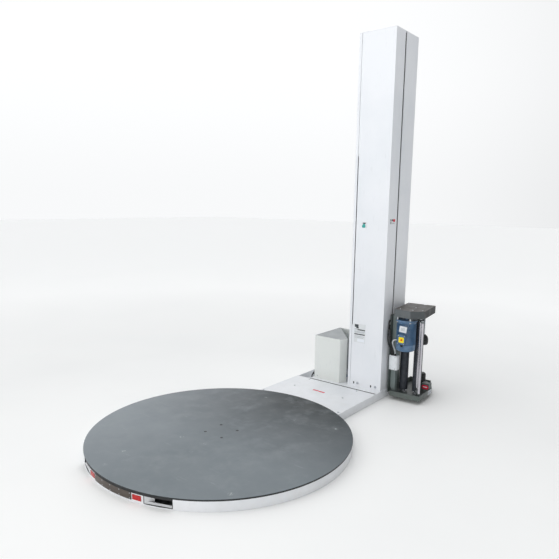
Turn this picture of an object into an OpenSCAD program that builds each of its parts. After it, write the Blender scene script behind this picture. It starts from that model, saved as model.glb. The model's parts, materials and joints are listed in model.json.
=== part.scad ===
// Turntable pallet wrapper: a low turntable, a bridge with its drive, a mast and a film carriage.
// Millimetres, +Z up. The origin is where the turntable's axis meets the floor.
// +Y points from the turntable to the mast, +X to the side that the film carriage runs on.

/* [Turntable] */
// Diameter of the turntable plate
table_d = 1650; // [1400:10:2200]
// Height of the turntable's top above the floor
table_h = 70; // [70:1:100]
// Thickness of the turntable plate
disc_t = 8; // [6:1:12]
// Width of one fork pocket, outside
fork_w = 150; // [120:5:170]
// Distance of a fork pocket's centre from the machine's centre line
fork_x = 305; // [290:5:330]
// Radius of the circle that the support wheels run on
wheel_circle = 640; // [600:5:660]
// Radius of a support wheel
wheel_r = 24; // [20:1:26]
// Pitch circle of the screws that hold the plate to its hub
hub_pcd = 200; // [160:5:230]

/* [Base] */
// Width of the base frame
base_w = 745; // [700:5:900]
// Height of the base frame's deck above the floor
base_h = 60; // [56:1:68]
// Thickness of the deck plates
deck_t = 3; // [2:0.5:5]
// Distance from the turntable's edge to the mast's front
mast_gap = 530; // [500:10:800]
// Height of the motor cover above the deck
cover_h = 361; // [330:1:480]

/* [Mast] */
// Width of the mast
mast_w = 295; // [280:5:360]
// Depth of the mast
mast_d = 350; // [340:5:430]
// Height of the mast's top above the floor
mast_top = 2715; // [2250:5:3300]
// Sheet thickness of the mast
mast_t = 3; // [2:0.5:4]
// Width of the slot that the carriage arms run in
slot_w = 14; // [14:1:20]
// Distance from the mast's front to the middle of the slot
slot_back = 150; // [145:1:160]
// Radius of a guide roller
guide_r = 25; // [22:1:27]
// Radius of the lift drums
drum_r = 30; // [26:1:34]

/* [Carriage] */
// Height of the film web that the carriage takes
film_w = 500; // [420:5:620]
// Radius of the stretch rollers
roller_r = 33; // [25:1:34]
// Radius of the plated idler rollers
idler_r = 10; // [9:1:14]
// Radius of the film core holders
core_r = 37; // [30:1:38]
// Radius of the stretch motor
motor_r = 73; // [58:1:74]
// Length of the stretch motor's body
motor_l = 242; // [200:1:260]
// Wall of the carriage's sheet parts
sheet_t = 3; // [2:0.5:4]

/* [Hidden] */
$fn = 64;
gap = 0.3;          // running gap between parts that pass each other
fit = 0.05;         // radial play of a shaft in its bore

// Turntable
table_r = table_d / 2;
skirt_r = table_r - 4;
skirt_t = 4;
floor_t = 5;
disc_z = table_h - disc_t;
skirt_h = disc_z - 5;
fork_h = skirt_h - floor_t - 2;
fork_t = 4;
fork_end = table_r - 375;
post_r = 25;
washer_z = floor_t + 7;
washer_t = 3.7;
hub_z = washer_z + washer_t + gap;
hub_flange_r = 130;
hub_flange_t = 10;
boss_r = 45;
belt_w = 20;
belt_t = 4;
belt_z = 22;
big_pulley_r = 150;
small_pulley_r = 45;
rim_h = 7;
wheel_z = disc_z - wheel_r - gap;
wheel_w = 24;
wheel_pin_r = 6;
wheel_angles = [45, 135, 225, 315];

// Base and mast
mast_y = table_r + mast_gap;
mast_back = mast_y + mast_d;
mast_x = 95;
mast_right = mast_x + mast_w;
base_right = mast_right + 10;
base_left = base_right - base_w;
base_t = 4;
plate_t = 6;
seam_y = mast_y - 80;
deck_left = -222;
slot_y = mast_y + slot_back;
cover_top = base_h + cover_h;
cover_t = 2;
cover_left = -212;
cover_front = mast_y - 30;
drive_x = -78;
drive_y = mast_y + 110;
strip_w = 20;
seam_w = 2;
vent_w = 7;
vent_z = [mast_top / 5 + 12, mast_top * 2 / 3 + 35];
cap_t = 3;
foot_t = 10;
shell_z = base_h + foot_t;

// Guide rails, trolley and lift inside the mast
rail_x = mast_right - 78;
rail_w = 40;
rail_t = 4;
rail_in = guide_r * 2 + 51;
rail_flange = 14;
rail_top = mast_top - 20;
guide_w = 20;
guide_x = rail_x + rail_w / 2;
guide_pin_r = 8;
trolley_t = 8;
trolley_x = rail_x - 16;
trolley_z = 130;
trolley_h = 460;
guide_zs = [trolley_z + 40, trolley_z + trolley_h - 40];
arm_t = slot_w - 4;
arm_h = 100;
arm_zs = [trolley_z + 50, trolley_z + trolley_h - 50 - arm_h];
drum_x = mast_x + 135;
drum_low = 160;
drum_high = mast_top - 115;
drum_w = 44;
lift_belt_w = 40;
lift_belt_t = 3;
strand_x = drum_x + drum_r + gap;
clamp_z = trolley_z + 190;
clamp_h = 60;

// Cabinet in the mast's rear
door_x = [mast_x + 35, mast_right - 35];
door_z = [860, 1440];
door_gap = 1.5;
hinge_r = 4.7;
hinge_pin_r = 2;
hinge_x = door_x[0] - 4;
hinge_y = mast_back + 5;
hinge_zs = [door_z[0] + 60, door_z[1] - 120];
hinge_h = 60;
panel_x = [door_x[0] + 45, door_x[1] - 45];
panel_z = [door_z[0] + 320, door_z[1] - 40];
panel_t = 20;
button_z = panel_z[0] + 35;
button_r = 10;
button_travel = 4;
button_xs = [panel_x[0] + 25, (panel_x[0] + panel_x[1]) / 2, panel_x[1] - 30];
switch_x = (door_x[0] + door_x[1]) / 2;
switch_z = door_z[0] + 200;

// Film carriage
tray_z = 30;
tray_t = 6;
tray_floor = tray_z + tray_t;
lip_h = 40;
brake_h = 76;
box_h = 52;
box_z = tray_floor + film_w + 127;
box_plate_t = 6;
box_plate_z = box_z - box_plate_t;
back_t = 6;
back_x = base_right + 3;
col_w = 40;
col_d = 40;
col_x = back_x + back_t + 3;
col_y = slot_y - 32;
roller_1 = [mast_right + 90, slot_y + 65];
gear_dist = 105;
gear_angle = 8;
roller_2 = roller_1 + gear_dist * [cos(gear_angle), sin(gear_angle)];
roller_z = tray_floor + 16;
roller_top = box_plate_z - 12;
shaft_r = 10;
gear_m = 2;
teeth_1 = 44;
teeth_2 = 61;
gear_t = 10;
gear_z = box_z + 6;
motor_at = [mast_right + 142, slot_y - 45];
motor_top = box_plate_z - 20;
motor_pulley_r = 24;
roller_pulley_r = 20;
pulley_z = gear_z + gear_t + 4;
pulley_h = 14;
film_at = [mast_right + 158, slot_y + 245];
core_z = tray_floor + 4;
core_flange_t = 34;
core_h = 80;
upper_z = core_z + 351;
upper_h = 74;
slide_r = 8;
idler_at = [mast_right + 226, slot_y + 15];
dancer_at = [mast_right + 273, slot_y - 54];
tie_at = [mast_right + 211, slot_y + 118];
tie_r = 4;
dancer_low = tray_z + lip_h + 2;
arm_plate_t = 8;
dancer_high = box_plate_z - 30;
bush_l = 20;
// Plan outline of the tray, clockwise from its front left corner
tray_outline = [[mast_right + 56, slot_y - 105], [mast_right + 298, slot_y - 91],
    [mast_right + 285, slot_y + 167], [mast_right + 200, slot_y + 345], [back_x + back_t, slot_y + 345],
    [back_x + back_t, slot_y - 23]];
// Plan outline of the gear cover
box_outline = [[mast_right + 61, slot_y - 97], [mast_right + 200, slot_y - 115], [mast_right + 284, slot_y - 50],
    [mast_right + 242, slot_y + 245], [mast_right + 18, slot_y + 230]];
// Junction box on the front of the column
jbox = [70, 45, 112];
jbox_at = [col_x, col_y - jbox[1], tray_floor + 194];
jbox_top = jbox_at[2] + jbox[2];
cable_end = jbox_top + 0.7;
// Cable routes: from the slot down to the junction box, and from there up to the motor
cable_r = 5;
cable_routes = [
    [for (p = [[6.5, -9, 610], [6.5, -42, 613], [9, -68, 602], [13, -84, 565], [14, -90, 510],
        [15, -86, 450], [24, -66, 400], [36, -56, 366], [36, -56, cable_end]])
        [mast_right + p[0], slot_y + p[1], p[2]]],
    [for (p = [[6.5, -9, 570], [6.5, -40, 573], [9, -64, 560], [24, -72, 530], [28, -74, 470],
        [34, -68, 420], [48, -58, 366], [48, -58, cable_end]])
        [mast_right + p[0], slot_y + p[1], p[2]]],
    [for (p = [[64, -56, cable_end], [64, -56, 366], [61, -61, 390], [57, -80, 424], [62, -104, 454],
        [78, -124, 476], [94, -134, 486], [107.7, -135.6, 488], [117.7, -134.9, 488]])
        [mast_right + p[0], slot_y + p[1], p[2]]]
];
cable_sides = 8;

// A box given by its lowest and highest corners
module block(lo, hi) { translate(lo) cube(hi - lo); }
module disc(r, z, h, at = [0, 0]) { translate([at[0], at[1], z]) cylinder(r = r, h = h); }
module along_x(at, r, l) { translate(at) rotate([0, 90, 0]) cylinder(r = r, h = l); }
module along_y(at, r, l) { translate(at) rotate([-90, 0, 0]) cylinder(r = r, h = l); }
// A belt that runs round two pulleys, in the plane of its pulleys
module belt_loop(at_a, r_a, at_b, r_b, thick) {
    difference() {
        hull() { translate(at_a) circle(r = r_a + thick); translate(at_b) circle(r = r_b + thick); }
        hull() { translate(at_a) circle(r = r_a); translate(at_b) circle(r = r_b); }
    }
}
// A spur gear's outline: straight flanked teeth with play at the pitch circle
module gear_2d(teeth, m) {
    pitch = teeth * m / 2;
    step = 360 / teeth;
    polygon([for (i = [0:teeth - 1], k = [[-0.30, -1.25], [-0.11, 0.9], [0.11, 0.9], [0.30, -1.25]])
        (pitch + k[1] * m) * [cos((i + k[0]) * step), sin((i + k[0]) * step)]]);
}
// A ring of points round each point of a route, joined into one tube
function unit(v) = v / norm(v);
function heading(p, i) = unit(p[min(i + 1, len(p) - 1)] - p[max(i - 1, 0)]);
function side_way(t) = unit(cross(t, abs(t[2]) > 0.9 ? [0, 1, 0] : [0, 0, 1]));
function bend(p, n) = [for (i = [0:len(p) - 2], k = [0:n - 1]) let (
    a = p[max(i - 1, 0)], b = p[i], c = p[i + 1], d = p[min(i + 2, len(p) - 1)], u = k / n)
    0.5 * (2 * b + u * (c - a) + u * u * (2 * a - 5 * b + 4 * c - d) + u * u * u * (3 * b - a - 3 * c + d)),
    p[len(p) - 1]];
module tube(route, r) {
    p = bend(route, 3);
    n = len(p);
    m = cable_sides;
    rings = [for (i = [0:n - 1], s = [0:m - 1]) let (t = heading(p, i), e = side_way(t), f = cross(e, t))
        p[i] + r * (cos(360 * s / m) * e + sin(360 * s / m) * f)];
    sides = [for (i = [0:n - 2], s = [0:m - 1]) [i * m + s, i * m + (s + 1) % m,
        (i + 1) * m + (s + 1) % m, (i + 1) * m + s]];
    polyhedron(rings, concat([[for (s = [m - 1:-1:0]) s]], sides, [[for (s = [0:m - 1]) (n - 1) * m + s]]));
}
// Part of a ring that shows between two angles from the front, -Y
module front_arc(r_in, r_out, z, h, from, to) {
    translate([0, 0, z]) rotate([0, 0, from - 90]) rotate_extrude(angle = to - from, $fn = 256)
        translate([r_in, 0]) square([r_out - r_in, h]);
}

// Fixed round base under the turntable, with ribs and the openings in its skirt
module ring_base() color("white") {
    difference() {
        union() {
            difference() {
                cylinder(r = skirt_r, h = skirt_h, $fn = 256);
                disc(skirt_r - skirt_t, floor_t, skirt_h, $fn = 256);
            }
            for (a = [0, 180, 270]) rotate([0, 0, a])
                block([big_pulley_r + 20, -3, floor_t], [skirt_r - skirt_t / 2, 3, floor_t + 28]);
        }
        for (s = [-1, 1]) block([s * fork_x - fork_w / 2 - gap, -table_r, floor_t],
            [s * fork_x + fork_w / 2 + gap, fork_end + gap, floor_t + fork_h + gap]);
        block([-200, 0, floor_t + 1], [200, table_r, skirt_h + 1]);
    }
}
// Two box tubes that a fork truck lifts the turntable by
module fork_channels() color("whitesmoke") intersection() {
    cylinder(r = skirt_r - gap, h = skirt_h, $fn = 256);
    for (s = [-1, 1]) difference() {
        block([s * fork_x - fork_w / 2, -table_r, floor_t],
            [s * fork_x + fork_w / 2, fork_end, floor_t + fork_h]);
        block([s * fork_x - fork_w / 2 + fork_t, -table_r - 1, floor_t + fork_t],
            [s * fork_x + fork_w / 2 - fork_t, fork_end - fork_t, floor_t + fork_h - fork_t]);
    }
}
// Angle from the front to a pocket's inner edge, and where the trim sits beside it
fork_inner = asin((fork_x - fork_w / 2) / skirt_r);
plate_edge = fork_inner - 5.2;
reflector_at = fork_inner - 2.8;
reflector_half = 1.9;
trim_gap = 0.1;
module front_plate() color("darkgray")
    front_arc(skirt_r + trim_gap, skirt_r + 2, 10, skirt_h - 18, -plate_edge, plate_edge);
module reflectors() color("red") for (s = [-1, 1])
    front_arc(skirt_r + trim_gap, skirt_r + 3, 16, skirt_h - 30,
        s * reflector_at - reflector_half, s * reflector_at + reflector_half);

// Welded frame of the bridge, the motor and the mast: a floor plate with walls and cross beams
module base_frame() color("lightgray") {
    beam_h = base_h - deck_t;
    difference() {
        union() {
            block([base_left, 0, 0], [base_right, mast_back, plate_t]);
            for (x = [base_left, base_right - base_t]) block([x, 0, 0], [x + base_t, mast_back, beam_h]);
            block([base_left, mast_back - base_t, 0], [base_right, mast_back, beam_h]);
            for (y = [mast_y + 5, mast_back - 50]) block([mast_x - 60, y, 0], [base_right, y + 40, beam_h]);
            for (x = [deck_left + 4, drive_x - 80]) block([x, seam_y + 8, 0], [x + 6, mast_back, beam_h]);
        }
        disc(skirt_r + 1, -1, base_h + 2, $fn = 256);
    }
}
// Cover over the turntable's belt, cut round to the turntable
module bridge_cover() color("white") difference() {
    block([base_left, 0, base_h - deck_t], [base_right, seam_y - 1, base_h]);
    disc(table_r + 5, base_h - deck_t - 1, deck_t + 2, $fn = 256);
    for (p = cover_screws) disc(4, base_h - deck_t - 1, deck_t + 2, p);
}
cover_screws = [for (x = [-205, 245], y = [seam_y - 235, seam_y - 30]) [x, y],
    for (x = [base_left + 22, base_right - 22]) [x, sqrt(pow(table_r + 35, 2) - x * x)]];
// Deck that the mast and the drive stand on
module rear_deck() color("white") difference() {
    block([deck_left, seam_y + 1, base_h - deck_t], [base_right, mast_back, base_h]);
    disc(22, base_h - deck_t - 1, deck_t + 2, [drive_x, drive_y]);
    for (p = foot_bolts) disc(6.5, base_h - deck_t - 1, deck_t + 2, p);
}
foot_bolts = [for (x = [mast_x + 32, mast_right - 90, mast_right - 34],
    y = [mast_y + 25, mast_back - 30]) [x, y]];
// Screws of the bridge cover, bolts of the mast's foot
module screw(at, seat, head_r, head_h, shank_r, depth) {
    disc(head_r, seat, head_h, at);
    disc(shank_r, seat - depth, depth, at);
}
module fasteners() color("silver") {
    for (p = cover_screws) screw(p, base_h, 7, 3, 3.5, 8);
    for (p = foot_bolts) screw(p, shell_z, 10, 8, 6, foot_t + deck_t);
}
module centre_post() color("gray") {
    disc(110, floor_t, washer_z - floor_t);
    disc(post_r, washer_z, disc_z - hub_flange_t + 4 - washer_z);
    difference() {
        disc(boss_r, washer_z, washer_t);
        disc(post_r + fit, washer_z - 1, washer_t + 2);
    }
}
// U shaped brackets with their pins
module wheel_brackets() color("silver") for (a = wheel_angles) rotate([0, 0, a])
    translate([wheel_circle, 0, 0]) {
        block([-22, -28, floor_t], [22, 28, floor_t + 4]);
        for (x = [-19, 14]) block([x, -14, floor_t], [x + 5, 14, wheel_z + 10]);
        along_x([-21, 0, wheel_z], wheel_pin_r, 42);
    }
module support_wheel(i) color("dimgray") rotate([0, 0, wheel_angles[i]]) translate([wheel_circle, 0, 0])
    difference() {
        union() {
            along_x([-wheel_w / 2, 0, wheel_z], wheel_r, wheel_w);
            along_x([-wheel_w / 2 - 1, 0, wheel_z], 11, wheel_w + 2);
        }
        along_x([-wheel_w, 0, wheel_z], wheel_pin_r + fit, wheel_w * 2);
    }
module turntable_disc() color("slategray") difference() {
    disc(table_r, disc_z, disc_t, $fn = 256);
    for (p = hub_screws) {
        disc(5.5, disc_z - 1, disc_t + 2, p);
        disc(9.4, table_h - 4, 5, p);
    }
}
hub_screws = [for (a = [45:90:315]) hub_pcd / 2 * [cos(a), sin(a)]];
// Hub and belt pulley in one turned piece, and the screws that hold the plate
module turntable_hub() color("darkgray") {
    difference() {
        union() {
            disc(hub_flange_r, disc_z - hub_flange_t, hub_flange_t);
            disc(boss_r, hub_z, disc_z - hub_z - 1);
            disc(big_pulley_r, belt_z - 2, belt_w + 4);
            for (z = [belt_z - 4, belt_z + belt_w + 2]) disc(big_pulley_r + rim_h, z, 2);
        }
        disc(post_r + fit, hub_z - 1, disc_z - hub_flange_t + 6 - hub_z + 1);
        for (p = hub_screws) disc(5.2, disc_z - hub_flange_t - 1, hub_flange_t + 2, p);
    }
    for (p = hub_screws) screw(p, table_h - 4, 9, 4, 5, disc_t - 4 + hub_flange_t);
}
module turntable_belt() color("dimgray") translate([0, 0, belt_z]) linear_extrude(belt_w)
    belt_loop([0, 0], big_pulley_r + gap, [drive_x, drive_y], small_pulley_r + gap, belt_t);
module drive_pulley() color("silver") {
    disc(small_pulley_r, belt_z - 2, belt_w + 4, [drive_x, drive_y]);
    for (z = [belt_z - 4, belt_z + belt_w + 2]) disc(small_pulley_r + rim_h, z, 2, [drive_x, drive_y]);
    disc(14, belt_z + belt_w, base_h - belt_z - belt_w - gap, [drive_x, drive_y]);
}
// Gearmotor that drives the turntable: foot, gearbox, motor and its terminal box
module drive_gearmotor() color("steelblue") {
    gearbox_top = base_h + 110;
    can_l = 150;
    block([drive_x - 75, drive_y - 75, base_h], [drive_x + 75, drive_y + 75, base_h + 10]);
    block([drive_x - 58, drive_y - 58, base_h + 10], [drive_x + 58, drive_y + 58, gearbox_top]);
    disc(70, gearbox_top, 12, [drive_x, drive_y]);
    disc(58, gearbox_top + 12, can_l, [drive_x, drive_y]);
    disc(52, gearbox_top + 12 + can_l, 30, [drive_x, drive_y]);
    block([drive_x - 80, drive_y - 35, gearbox_top + 60], [drive_x - 50, drive_y + 35, gearbox_top + 130]);
}
// Folded cover, open towards the mast
module motor_cover() color("white") {
    right = 32;
    corner = [60, cover_front + 65];
    back = mast_back - 1;
    outline = [[cover_left, cover_front], [right, cover_front], corner,
        [corner[0] - cover_t, corner[1] + cover_t], [cover_left + 8, back], [cover_left, back]];
    translate([0, 0, cover_top - cover_t]) linear_extrude(cover_t) polygon(outline);
    translate([0, 0, base_h]) linear_extrude(cover_h - cover_t) {
        polygon([[cover_left, cover_front], [right, cover_front], corner, corner + [-2.2, 1],
            [right - 1.2, cover_front + cover_t], [cover_left, cover_front + cover_t]]);
        translate([cover_left, cover_front]) square([cover_t, back - cover_front]);
        translate([cover_left, back - cover_t]) square([mast_x - cover_left - 5, cover_t]);
    }
}

// Rear part of the mast: left strip, left side, back and the right side behind the slot
module mast_shell() color("white") {
    top = mast_top - cap_t;
    difference() {
        union() {
            block([mast_x, mast_y, shell_z], [mast_x + mast_t, mast_back, top]);
            block([mast_x, mast_y, shell_z], [mast_x + strip_w, mast_y + mast_t, top]);
            block([mast_x, mast_back - mast_t, shell_z], [mast_right, mast_back, top]);
            block([mast_right - mast_t, slot_y + slot_w / 2, shell_z], [mast_right, mast_back, top]);
            block([mast_x, mast_y, base_h], [mast_right, mast_back, shell_z]);
            for (z = hinge_zs, k = [0, 2]) translate([0, 0, z + k * hinge_h / 3]) {
                disc(hinge_r, 0.5, hinge_h / 3 - 1, [hinge_x, hinge_y]);
                block([hinge_x - 20, mast_back, 0.5], [hinge_x, mast_back + 2, hinge_h / 3 - 0.5]);
            }
            for (z = hinge_zs) disc(hinge_pin_r, z + 1, hinge_h - 2, [hinge_x, hinge_y]);
        }
        block([door_x[0], mast_back - mast_t - 1, door_z[0]], [door_x[1], mast_back + 1, door_z[1]]);
        for (p = foot_bolts) disc(6.5, base_h - 1, foot_t + 2, p);
    }
}
// Removable front of the mast, with the right side as far as the slot
module mast_front_cover() color("white") {
    left = mast_x + strip_w + seam_w;
    top = mast_top - cap_t;
    difference() {
        block([left, mast_y, shell_z], [mast_right, mast_y + mast_t, top]);
        block([left - 1, mast_y - 1, vent_z[0]],
            [mast_x + strip_w + vent_w, mast_y + mast_t + 1, vent_z[1]]);
    }
    block([mast_right - mast_t, mast_y, shell_z], [mast_right, slot_y - slot_w / 2, top]);
}
module mast_top_cap() color("white") {
    block([mast_x, mast_y, mast_top - cap_t], [mast_right, mast_back, mast_top]);
    for (y = [mast_y + 6, mast_back - 9])
        block([mast_x + 20, y, mast_top - 22], [mast_right - 20, y + 3, mast_top - cap_t]);
}
// Two channels that guide the trolley, tied to the mast's left side
module guide_rails() color("darkgray") for (s = [-1, 1]) translate([0, slot_y, 0]) scale([1, s, 1]) {
    block([rail_x, rail_in, shell_z], [rail_x + rail_w, rail_in + rail_t, rail_top]);
    for (x = [rail_x, rail_x + rail_w - rail_t])
        block([x, rail_in - rail_flange, shell_z], [x + rail_t, rail_in, rail_top]);
    for (z = [0.19, 0.41, 0.63, 0.85]) block([mast_x + mast_t, rail_in + rail_t, z * mast_top],
        [rail_x + rail_w, rail_in + rail_t + 8, z * mast_top + 40]);
}
// Gearmotor of the lift on its shelf, and the drum's outer bearing plate
module lift_gearmotor() color("steelblue") {
    face = slot_y + drum_w / 2 + 12;
    back_face = slot_y - drum_w / 2 - 12;
    block([mast_x + mast_t, face + 5, drum_low - 60], [drum_x + 55, face + 105, drum_low - 50]);
    block([drum_x - 50, face, drum_low - 50], [drum_x + 50, face + 100, drum_low + 50]);
    disc(48, drum_low + 50, 220, [drum_x, face + 50]);
    difference() {
        block([mast_x + mast_t, back_face - 8, drum_low - 30], [drum_x + 32, back_face, drum_low + 30]);
        along_y([drum_x, back_face - 9, drum_low], 12 + fit, 10);
    }
}
module lift_drum() color("silver") {
    along_y([drum_x, slot_y - drum_w / 2, drum_low], drum_r, drum_w);
    along_y([drum_x, slot_y - drum_w / 2 - 20, drum_low], 12, drum_w + 20 + 12 - gap);
}
module lift_idler() color("silver") difference() {
    along_y([drum_x, slot_y - drum_w / 2, drum_high], drum_r, drum_w);
    along_y([drum_x, slot_y - drum_w, drum_high], 10 + fit, drum_w * 2);
}
module idler_bracket() color("darkgray") {
    for (y = [slot_y - drum_w / 2 - 8, slot_y + drum_w / 2 + 2])
        block([mast_x + mast_t, y, drum_high - 30], [drum_x + 20, y + 6, drum_high + 30]);
    along_y([drum_x, slot_y - drum_w / 2 - 8, drum_high], 10, drum_w + 16);
}
module lift_belt() color("dimgray") translate([0, slot_y + lift_belt_w / 2, 0]) rotate([90, 0, 0])
    linear_extrude(lift_belt_w)
        belt_loop([drum_x, drum_low], drum_r + gap, [drum_x, drum_high], drum_r + gap, lift_belt_t);
// Plate in the mast with the drives, breakers, relays and terminals
module electrical_plate() color("gainsboro") {
    y = slot_y + rail_in + rail_t + 22;
    face = y + 3;
    block([mast_x + mast_t, y, door_z[0] + 20], [mast_right - 20, face, door_z[1] - 20]);
    // Rows of equal devices: how many, pitch, width, depth, and the row's lowest and highest edge
    for (row = [[2, 105, 85, 50, door_z[1] - 190, door_z[1] - 50],
        [5, 36, 32, 45, door_z[1] - 310, door_z[1] - 230],
        [3, 62, 50, 48, door_z[1] - 420, door_z[1] - 350]])
        for (i = [0:row[0] - 1]) block([door_x[0] + 12 + i * row[1], face, row[4]],
            [door_x[0] + 12 + i * row[1] + row[2], face + row[3], row[5]]);
    block([door_x[0] + 12, face, door_z[0] + 60], [door_x[1] - 25, face + 30, door_z[0] + 100]);
}
// Blank plates where the machine carries its labels: data plate, sign, and the one on the right side
label_t = 1;
data_plate = [100, 149];
data_plate_at = [44, 418];
sign_plate = [46, 44];
sign_plate_at = [75, 1314];
side_plate = [82, 39];
side_plate_at = [30, 1347];
module label_plates() color("gainsboro") {
    for (p = [[data_plate_at, data_plate], [sign_plate_at, sign_plate]])
        block([mast_x + p[0][0], mast_y - label_t, p[0][1]],
            [mast_x + p[0][0] + p[1][0], mast_y, p[0][1] + p[1][1]]);
    block([mast_right, mast_y + side_plate_at[0], side_plate_at[1]],
        [mast_right + label_t, mast_y + side_plate_at[0] + side_plate[0],
            side_plate_at[1] + side_plate[1]]);
}

// Trolley: plate with four stub axles, the two arms through the slot and the belt clamp
module trolley() color("gray") {
    block([trolley_x, slot_y - 85, trolley_z], [trolley_x + trolley_t, slot_y + 85, trolley_z + trolley_h]);
    for (z = arm_zs) block([trolley_x, slot_y - arm_t / 2, z], [back_x, slot_y + arm_t / 2, z + arm_h]);
    for (z = guide_zs, s = [-1, 1])
        along_x([trolley_x, slot_y + s * guide_y, z], guide_pin_r, guide_x + guide_w / 2 + 3 - trolley_x);
    difference() {
        block([strand_x - 8, slot_y - 28, clamp_z], [trolley_x + 1, slot_y + 28, clamp_z + clamp_h]);
        block([strand_x - gap, slot_y - lift_belt_w / 2 - gap, clamp_z - 1],
            [strand_x + lift_belt_t + gap, slot_y + lift_belt_w / 2 + gap, clamp_z + clamp_h + 1]);
    }
}
guide_y = rail_in - guide_r - gap;
module guide_roller(i) color("dimgray") {
    at = [guide_x, slot_y + (i % 2 == 0 ? -1 : 1) * guide_y, guide_zs[floor(i / 2)]];
    difference() {
        along_x(at - [guide_w / 2, 0, 0], guide_r, guide_w);
        along_x(at - [guide_w, 0, 0], guide_pin_r + fit, guide_w * 2);
    }
}

// Carriage frame
module carriage_back_plate() color("dimgray") {
    block([back_x, slot_y - 60, tray_floor], [back_x + back_t, slot_y + 135, box_plate_z]);
    disc(tie_r, tray_floor, box_plate_z - tray_floor, tie_at);
}
module carriage_column() color("dimgray") difference() {
    block([col_x, col_y, tray_floor], [col_x + col_w, col_y + col_d, box_plate_z]);
    block([col_x + sheet_t, col_y + sheet_t, tray_floor - 1],
        [col_x + col_w - sheet_t, col_y + col_d - sheet_t, box_plate_z + 1]);
}
module carriage_tray() color("dimgray") {
    brake_y = slot_y + 117;
    difference() {
        translate([0, 0, tray_z]) linear_extrude(lip_h) polygon(tray_outline);
        translate([0, 0, tray_floor]) linear_extrude(lip_h) offset(delta = -tray_t) polygon(tray_outline);
        for (p = [roller_1, roller_2]) disc(shaft_r + fit, tray_z - 1, tray_t + 2, p);
        block([col_x, col_y, tray_floor], [col_x + col_w, col_y + col_d, tray_z + lip_h + 1]);
    }
    block([tie_at[0] + 8, brake_y, tray_floor], [mast_right + 281, brake_y + 48, tray_floor + brake_h]);
}
// Mounting plate of the gears, with the tongue that carries the upper core holder
module carriage_top_plate() color("dimgray") translate([0, 0, box_plate_z]) difference() {
    union() {
        linear_extrude(box_plate_t) offset(delta = -sheet_t - gap) polygon(box_outline);
        linear_extrude(box_plate_t) translate([film_at[0] - 48, slot_y + 190]) square([96, 100]);
        disc(slide_r + 12, -bush_l, bush_l + box_plate_t, film_at);
    }
    for (p = [roller_1, roller_2]) disc(shaft_r + fit, -1, box_plate_t + 2, p);
    disc(16, -1, box_plate_t + 2, motor_at);
    disc(slide_r + fit, -bush_l - 1, bush_l + box_plate_t + 2, film_at);
}
module carriage_top_cover() color("dimgray") difference() {
    translate([0, 0, box_plate_z]) linear_extrude(box_h + box_plate_t) polygon(box_outline);
    translate([0, 0, box_plate_z - 1]) linear_extrude(box_h + box_plate_t + 1 - sheet_t)
        offset(delta = -sheet_t) polygon(box_outline);
    block([film_at[0] - 50, slot_y + 200, box_plate_z - 1], [film_at[0] + 50, slot_y + 300, box_z + gap]);
    disc(slide_r + 6, box_z, box_h + 20, film_at);
}
// Flanged motor hung from the top plate on four studs, with fins and its terminal box
module stretch_motor() color("steelblue") translate([motor_at[0], motor_at[1], 0]) {
    low = motor_top - motor_l;
    disc(motor_r + 7, motor_top - 12, 12);
    disc(motor_r - 5, low + 45, motor_l - 57);
    disc(motor_r, low + 10, 38);
    disc(motor_r - 8, low, 10);
    disc(13.5, motor_top, box_z + 2 - motor_top);
    for (a = [0:15:345]) rotate([0, 0, a])
        block([motor_r - 8, -1.2, low + 48], [motor_r, 1.2, motor_top - 12]);
    for (a = [45:90:315]) rotate([0, 0, a])
        disc(6, motor_top, box_plate_z - motor_top, [motor_r - 4, 0]);
    rotate([0, 0, 274]) block([motor_r - 8, -30, low + 64], [motor_r + 28, 30, low + 138]);
}
module junction_box() color("gainsboro") translate(jbox_at) difference() {
    cube(jbox);
    for (x = [0, jbox[0]]) translate([x, 0, -1]) rotate([0, 0, 45])
        cube([12, 12, 3 * jbox[2]], center = true);
}
module carriage_cables() color("dimgray") for (r = cable_routes) tube(r, cable_r);
module stretch_belt() color("dimgray") translate([0, 0, pulley_z + 2]) linear_extrude(pulley_h - 4)
    belt_loop(motor_at, motor_pulley_r + gap, roller_1, roller_pulley_r + gap, 2.5);
module motor_pulley() color("silver") {
    disc(motor_pulley_r, pulley_z, pulley_h, motor_at);
    disc(10, box_z + 2 + gap, pulley_z - box_z - 2, motor_at);
}
// Rubber covered roller on a shaft that carries its gear above the plate
module stretch_roller(at, teeth, turn) {
    color("darkslategray") difference() {
        disc(roller_r, roller_z, roller_top - roller_z, at);
        disc(shaft_r + 4, roller_z - 1, roller_top - roller_z + 2, at);
    }
    color("silver") {
        disc(shaft_r, tray_z + 1, gear_z - tray_z, at);
        disc(shaft_r + 4, roller_z - 4, roller_top - roller_z + 8, at);
        translate([at[0], at[1], gear_z]) rotate([0, 0, turn]) linear_extrude(gear_t) gear_2d(teeth, gear_m);
    }
}
module stretch_roller_1() {
    stretch_roller(roller_1, teeth_1, gear_angle);
    color("silver") disc(roller_pulley_r, pulley_z, pulley_h, roller_1);
    color("silver") disc(roller_pulley_r - 6, gear_z + gear_t - 1, pulley_z - gear_z - gear_t + 2, roller_1);
}
module stretch_roller_2() stretch_roller(roller_2, teeth_2, gear_angle + 180 + 180 / teeth_2);
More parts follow.
